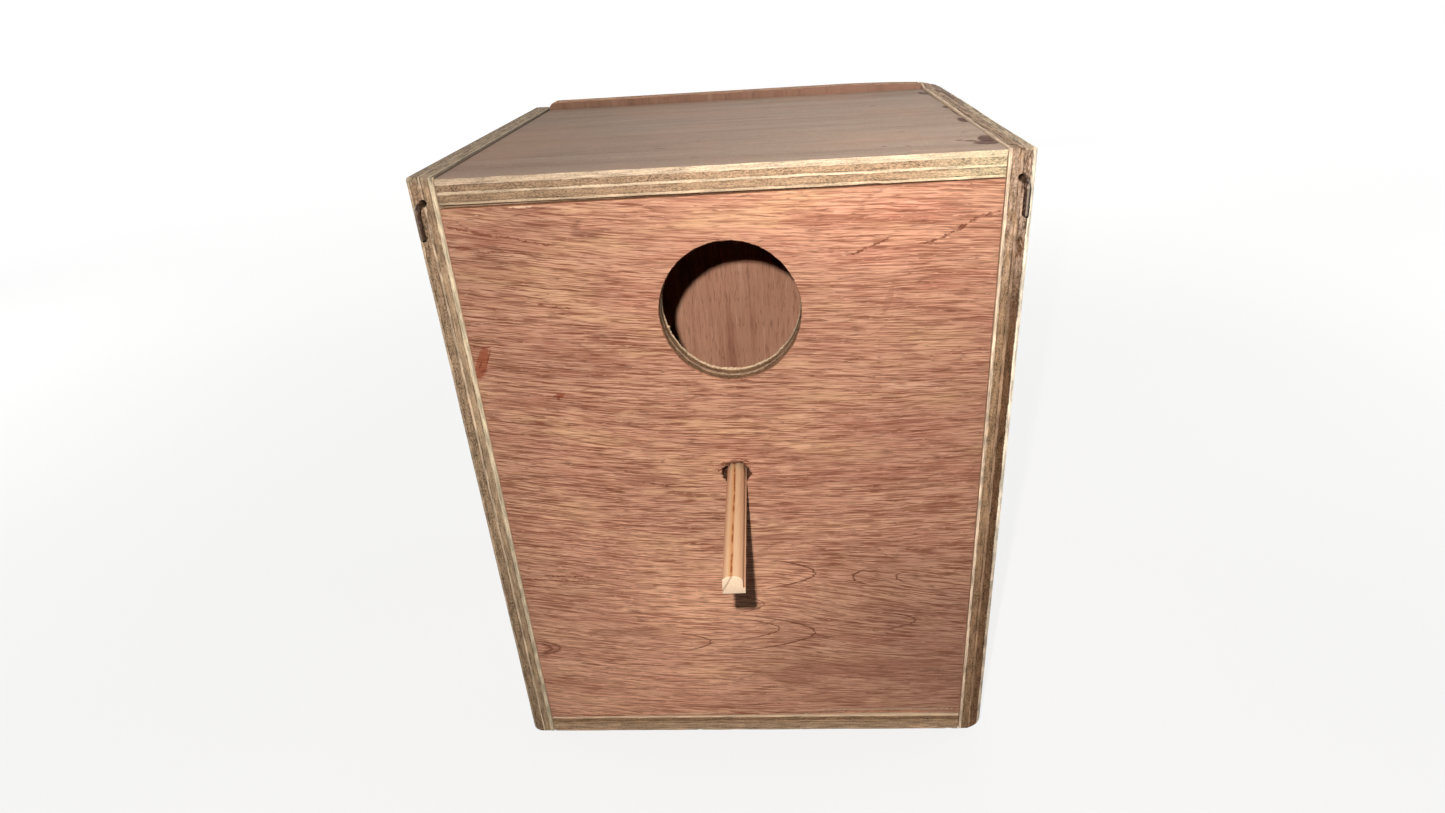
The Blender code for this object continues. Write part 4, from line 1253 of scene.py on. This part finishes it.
def nail_holes(row, side_name, seed):
    """Each nail's hole through a board, with a pocket for its head and torn grain at the rim."""
    profile = (
        (NAIL_POCKET + 0.5 * MM, -CUT_OVERRUN),
        (NAIL_POCKET + 0.4 * MM, -NAIL_SINK),
        (NAIL_POCKET, 0.1 * MM),
        (NAIL_POCKET, NAIL_HEAD_DEPTH + 0.1 * MM),
        (NAIL_HOLE, NAIL_HEAD_DEPTH + 0.12 * MM),
        (NAIL_HOLE, NAIL_LENGTH),
    )
    names = [name for name in NODES if name.startswith(side_name) and row in name]
    return [
        (turned_points(profile, *NAIL_RIM, seed + number), nail_matrix(name))
        for number, name in enumerate(names)
    ]


def hook_hole(side_name, seed):
    """The bore in a side's front edge that a hook's wire goes into."""
    low, high = NODES[f"{side_name}_hook"]
    front_y = NODES[f"{side_name}_side_panel"][0][1]
    profile = (
        (HOOK_RADIUS + 0.4 * MM, -CUT_OVERRUN),
        (HOOK_RADIUS + 0.3 * MM, 0.0),
        (HOOK_RADIUS + 0.2 * MM, 0.5 * MM),
        (HOOK_RADIUS + 0.15 * MM, high[1] - front_y + 0.2 * MM),
    )
    place = Matrix.Translation(((low[0] + high[0]) / 2, front_y, high[2] - HOOK_RADIUS))
    return turned_points(profile, *HOOK_RIM, seed), place @ INWARD


def torn_rim(x, down):
    """How far torn fibres reach in from the entrance's rear rim, as a share of its radius: most low down."""
    angle = np.arctan2(down, x)
    lower = smooth_step(-0.25, 0.55, down)
    waves = value_noise(angle * 5, 0.0, 0.0, 321)
    spikes = value_noise(angle * 52, 0.0, 0.0, 322) ** 3
    fuzz = value_noise(angle * 75, 0.0, 0.0, 323)
    return lower * (0.008 + 0.040 * spikes * waves ** 2 + 0.006 * fuzz)


def entrance_hole(front_y, thickness):
    """The hand-cut entrance, a little wider in every second ply, with torn fibres at its rear rim."""
    profile = []
    for depth in [-CUT_OVERRUN, *np.linspace(0, thickness, 15), thickness + CUT_OVERRUN]:
        layer = sum(depth > ply[0] * MM for ply in FRONT_PLIES[:-1])
        flare = 0.008 * float(np.exp(-max(depth, 0) / (0.5 * MM)))
        profile.append((1.0 + (0.004 if layer % 2 else 0.0) + flare, depth))
    rings = turned_points(profile, *ENTRANCE_RIM, 310)
    for ring in rings:
        if ring[0, 2] > thickness - TORN_PLY:
            ring[:, :2] *= 1 - torn_rim(ring[:, 0], ring[:, 1])[:, None]
    stretch = Matrix.Diagonal((ENTRANCE_WIDTH / 2, ENTRANCE_HEIGHT / 2, 1, 1))
    return rings, Matrix.Translation((ENTRANCE_X, front_y, ENTRANCE_Z)) @ INWARD @ stretch


def perch_hole(front_y, thickness):
    """The perch's hole, with a torn rim whose fibres hang in from one side."""
    profile = (
        (PERCH_HOLE_RADIUS + 0.2 * MM, -CUT_OVERRUN),
        (PERCH_HOLE_RADIUS + 0.1 * MM, 0.0),
        (PERCH_HOLE_RADIUS + 0.1 * MM, 0.5 * MM),
        (PERCH_HOLE_RADIUS + 0.1 * MM, 1.2 * MM),
        (PERCH_HOLE_RADIUS + 0.1 * MM, thickness + CUT_OVERRUN),
    )
    rings = turned_points(profile, *PERCH_RIM, 330)
    for ring in rings[:3]:
        angle = np.arctan2(-ring[:, 1], ring[:, 0])
        spikes = value_noise(angle * 6, 0.0, 0.0, 335)
        tear = np.exp(-((angle - radians(115)) / 0.42) ** 2) * (0.10 + 0.16 * spikes)
        ring[:, :2] *= 1 - tear[:, None]
    return rings, Matrix.Translation((PERCH_HOLE_X - PERCH_HOLE_SHIFT, front_y, PERCH_HOLE_Z)) @ INWARD


def top_rise(name, points, low, high):
    """How far points near a board's top are raised, where it is out of square or worn down."""
    x, y, z = points.T
    across = np.clip((x - low[0]) / (high[0] - low[0]), 0, 1)
    if name == "left_side":
        rise = np.interp(y, (low[1], high[1]), LEFT_RISE) * (1 - LEFT_RISE_FALL * across)
    elif name == "right_side":
        rear = smooth_step(*RIGHT_REAR, y)
        rise = REAR_TOP_RISE * smooth_step(*RIGHT_RISING, y) * (1 - across * rear)
        rise = rise + REAR_RISE * (1 - across) * rear
    else:
        rise = -BACK_WORN_HEIGHT * np.clip((x - high[0]) / BACK_WORN_WIDTH + 1, 0, 1) ** 2
    start, end = TOP_STRETCHES[name]
    return rise * smooth_step(high[2] - start, high[2] - end, z)


def make_board_piece(board, face_paint, edge_paint):
    """One board as a piece of the box: shaped, pierced and painted."""
    low, high = NODES[board.node]
    mesh = make_board(board, f"{board.name}_board")
    if board.name in TOP_STRETCHES:
        points = read_vectors(mesh.vertices, "co")
        points[:, 2] += top_rise(board.name, points, low, high)
        move_points(mesh, points)
    side_name = board.name.removesuffix("_side")
    if side_name != board.name:
        forms = nail_holes("nail", side_name, board.seed) + [hook_hole(side_name, board.seed + 40)]
    else:
        depths = (low[1], high[1] - low[1])
        forms = [entrance_hole(*depths), perch_hole(*depths)] if board.name == "front" else []
        forms += nail_holes(board.nails, "left", board.nail_seed)
        forms += nail_holes(board.nails, "right", board.nail_seed)
    mesh = cut_board(mesh, forms)
    finish_board(mesh, board.axis, face_paint, edge_paint, low, high)
    return make_piece(f"{board.name}_board", mesh, board.body, board.node)


# The other pieces

def make_nail(name, paint):
    """One nail: a flat head with a rounded rim, a round shank and a cut point."""
    profile = (
        (0.4 * NAIL_HEAD_RADIUS, 0.06 * MM),
        (0.8 * NAIL_HEAD_RADIUS, 0.0),
        (0.94 * NAIL_HEAD_RADIUS, 0.05 * MM),
        (NAIL_HEAD_RADIUS, 0.22 * MM),
        (NAIL_HEAD_RADIUS, 0.5 * MM),
        (0.9 * NAIL_HEAD_RADIUS, 0.72 * MM),
        (1.25 * NAIL_RADIUS, NAIL_HEAD_DEPTH),
        (NAIL_RADIUS, NAIL_HEAD_DEPTH + 0.5 * MM),
        (NAIL_RADIUS, NAIL_LENGTH - NAIL_POINT),
        (0.15 * NAIL_RADIUS, NAIL_LENGTH - 0.1 * MM),
    )
    mesh = mesh_of(f"{name}_steel", *placed_forms([(turned_points(profile, 24), nail_matrix(name))]))
    finish_mesh(mesh, paint)
    return make_piece(f"{name}_steel", mesh, "box", name)


def sweep(path, sides, lump, seed):
    """Rings of a round, slightly uneven wire along (point, radius) pairs, each square to its run."""
    across = Vector((1, 0, 0))
    rings = []
    for number, (point, radius) in enumerate(path):
        before = path[max(number - 1, 0)][0]
        after = path[min(number + 1, len(path) - 1)][0]
        up = (after - before).normalized().cross(across).normalized()
        ring = []
        for index in range(sides):
            angle = 2 * pi * index / sides
            uneven = value_noise(index * 0.8, number * 0.35, 0.0, seed) - 0.5
            reach = radius + lump * float(uneven)
            ring.append(tuple(point + across * (reach * cos(angle)) + up * (reach * sin(angle))))
        rings.append(np.array(ring))
    return rings


def make_hook(side_name, seed, paint):
    """One wire hook: out of the wood, round a bend and down to a cut tip."""
    low, high = NODES[f"{side_name}_hook"]
    top_z = high[2] - HOOK_RADIUS
    front_y = low[1] + HOOK_RADIUS
    route = [(y, top_z, 1.0) for y in np.linspace(high[1], front_y + HOOK_BEND, 26)]
    for angle in np.linspace(0, pi / 2, 13)[1:]:
        route.append((front_y + HOOK_BEND * (1 - sin(angle)), top_z - HOOK_BEND * (1 - cos(angle)), 1.0))
    route += [(front_y, z, 1.0) for z in np.linspace(top_z - HOOK_BEND, low[2] + 0.35 * MM, 16)[1:]]
    route += [(front_y, low[2] + rise * MM, share) for rise, share in HOOK_TIP]
    path = [(Vector(((low[0] + high[0]) / 2, y, z)), WIRE_RADIUS * share) for y, z, share in route]
    mesh = mesh_of(f"{side_name}_hook_wire", *closed_rings(sweep(path, 20, 0.07 * MM, seed)))
    finish_mesh(mesh, paint)
    return make_piece(f"{side_name}_hook_wire", mesh, "box", f"{side_name}_hook")


def make_perch(paint):
    """The perch, its section kept and its length sliced into short lengths that wave a little."""
    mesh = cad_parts["perch"].data.copy()
    mesh.name = "perch_stick"
    low, high = NODES["perch"]
    bm = bmesh.new()
    bm.from_mesh(mesh)
    bmesh.ops.remove_doubles(bm, verts=bm.verts, dist=0.01 * MM)
    bmesh.ops.dissolve_limit(bm, angle_limit=radians(1), verts=bm.verts, edges=bm.edges)
    sharp = [edge for edge in bm.edges if edge.calc_face_angle(0) > SMOOTH_LIMIT]
    bmesh.ops.bevel(bm, geom=sharp, offset=PERCH_EDGE, segments=3, profile=0.5, affect="EDGES")
    for y in np.arange(low[1] + 0.8 * MM, high[1] - 0.6 * MM, PERCH_SLICE):
        geometry = bm.verts[:] + bm.edges[:] + bm.faces[:]
        bmesh.ops.bisect_plane(bm, geom=geometry, dist=0.001 * MM, plane_co=(0, y, 0), plane_no=(0, 1, 0))
    bmesh.ops.recalc_face_normals(bm, faces=bm.faces)
    bm.normal_update()
    bm.to_mesh(mesh)
    bm.free()
    points = read_vectors(mesh.vertices, "co")
    sink = 0.10 * MM * bumps(points.T, (1.6, 5, 1.6), 71)
    sink += 0.22 * MM * smooth_step(0.80, 0.9, bumps(points.T, (1.2, 2.5, 1.2), 72))
    move_points(mesh, points - read_vectors(mesh.vertices, "normal") * sink[:, None])
    finish_mesh(mesh, paint, FINE_SMOOTH_LIMIT)
    return make_piece("perch_stick", mesh, "box", "perch")


def make_nest_block(paint):
    """The loose block, with worn edges and a turned hollow for the eggs."""
    block = Board("nest_block", "nest_block", 2, (2.2 * MM, 2.2 * MM, 1.2 * MM), (), 500)
    mesh = make_board(block, "nest_block_wood")
    ball = (DISH_RADIUS ** 2 + DISH_DEPTH ** 2) / (2 * DISH_DEPTH)
    profile = [(0.5 * MM, -DISH_DEPTH)]
    for step in range(1, DISH_STEPS + 1):
        reach = DISH_RADIUS * step / DISH_STEPS
        groove = DISH_GROOVE * sin(step * 1.9) if step < DISH_STEPS else 0.0
        profile.append((reach, ball - DISH_DEPTH - sqrt(ball ** 2 - reach ** 2) + groove))
    profile += [(DISH_RADIUS + 0.4 * MM, 0.15 * MM), (DISH_RADIUS + 0.8 * MM, CUT_OVERRUN)]
    centre = Matrix.Translation((0, DISH_SETBACK, NODES["nest_block"][1][2]))
    mesh = cut_board(mesh, [(turned_points(profile, 120), centre)])
    finish_mesh(mesh, paint, FINE_SMOOTH_LIMIT)
    return make_piece("nest_block_wood", mesh, "box", "nest_block")


def build_box():
    """Every piece of the nest box."""
    side_face = paint_plain_veneer("side_veneer", 2, CREAM, 17.0, 7.0, lid_gap_shaded=True)
    faces = {
        "front": paint_front_veneer("front_veneer"),
        "back": paint_plain_veneer("back_veneer", 2, BACK_COLOURS, 13.0, dusty=(240, 247, 0.72)),
        "left_side": side_face,
        "right_side": side_face,
        "floor": paint_plain_veneer("floor_veneer", 0, CREAM, 19.0),
        "roof": paint_roof("roof_veneer", *NODES["roof_lid"]),
    }
    for board in BOARDS:
        make_board_piece(board, faces[board.name], paint_ply_edge(board, **board.wear_and_light))
    make_nest_block(paint_block("block_softwood"))
    make_perch(paint_perch("perch_pine"))
    wire = paint_wire("hook_wire")
    make_hook("left", 61, wire)
    make_hook("right", 67, wire)
    steel = paint_nail("nail_metal")
    for name in NODES:
        if "nail" in name:
            make_nail(name, steel)


# Floor, lights and camera

def make_floor():
    """A plain pale floor that looks near white to the camera and keeps the box's shadow."""
    bm = bmesh.new()
    bmesh.ops.create_grid(bm, x_segments=2, y_segments=2, size=FLOOR_SIZE)
    mesh = bpy.data.meshes.new("studio_floor")
    bm.to_mesh(mesh)
    bm.free()
    paint = Paint("studio_floor", 0.0)
    speck = noise((paint.x, paint.y, paint.z), (400, 400, 400), 1.0)
    paint.colour = paint.mix(speck.ease(0.3, 0.7), FLOOR_COLOUR, FLOOR_COLOUR_DIM)
    paint.finish(0.9)
    away = (paint.x ** 2.0 + paint.y ** 2.0).math("SQRT")
    paint.inputs["Emission Color"].default_value = WHITE
    paint.feed(paint.inputs["Emission Strength"], paint.seen() * away.ease(0.2, 1.6, FLOOR_GLOW, 1.0))
    mesh.materials.append(paint.material)
    floor = bpy.data.objects.new("studio_floor", mesh)
    bpy.context.scene.collection.objects.link(floor)


def aim(item, place, target):
    """Put a light somewhere and turn it towards a point."""
    item.location = place
    item.rotation_euler = (Vector(target) - Vector(place)).to_track_quat("-Z", "Y").to_euler()
    bpy.context.scene.collection.objects.link(item)


def make_lights():
    """One small lamp above the camera, soft light from above and behind, and a dim even surround."""
    lamp = bpy.data.lights.new("key_lamp", "POINT")
    lamp.energy = KEY_POWER
    lamp.shadow_soft_size = KEY_RADIUS
    lamp.color = KEY_COLOUR
    lamp.use_nodes = True
    graph = Graph(lamp.node_tree)
    falloff = graph.add("ShaderNodeLightFalloff", Strength=KEY_FALLOFF_STRENGTH)
    graph.feed(graph.tree.nodes["Emission"].inputs["Strength"], Value(graph, falloff.outputs["Linear"]))
    aim(bpy.data.objects.new("key_lamp", lamp), LAMP_PLACE, LAMP_AIM)
    for name, place, target, size, power in SOFT_LIGHTS:
        light = bpy.data.lights.new(name, "AREA")
        light.shape = "DISK"
        light.size = size
        light.energy = power
        light.color = SOFT_COLOUR
        aim(bpy.data.objects.new(name, light), place, target)
    world = bpy.data.worlds.new("studio")
    world.use_nodes = True
    graph = Graph(world.node_tree)
    background = graph.tree.nodes["Background"].inputs
    seen = graph.seen()
    strength = graph.add("ShaderNodeMapRange", Value=seen, To_Min=WORLD_LEVEL, To_Max=1.0)
    graph.feed(background["Strength"], Value(graph, strength.outputs[0]))
    graph.feed(background["Color"], graph.mix(seen, WORLD_COLOUR, WHITE))
    bpy.context.scene.world = world


def make_camera():
    """The photograph's camera."""
    data = bpy.data.cameras.new("photo_camera")
    data.sensor_width = SENSOR_WIDTH_MM
    data.lens = LENS_MM
    data.shift_x = SHIFT_X
    data.shift_y = SHIFT_Y
    data.clip_start = 0.01
    camera = bpy.data.objects.new("photo_camera", data)
    axes = Matrix((CAMERA_RIGHT, -CAMERA_DOWN, -CAMERA_FORWARD)).transposed()
    camera.matrix_world = Matrix.Translation(CAMERA_PLACE) @ axes.to_4x4()
    bpy.context.scene.collection.objects.link(camera)
    bpy.context.scene.camera = camera


make_camera()
make_floor()
make_lights()
build_box()
bpy.context.scene.view_settings.view_transform = "Standard"
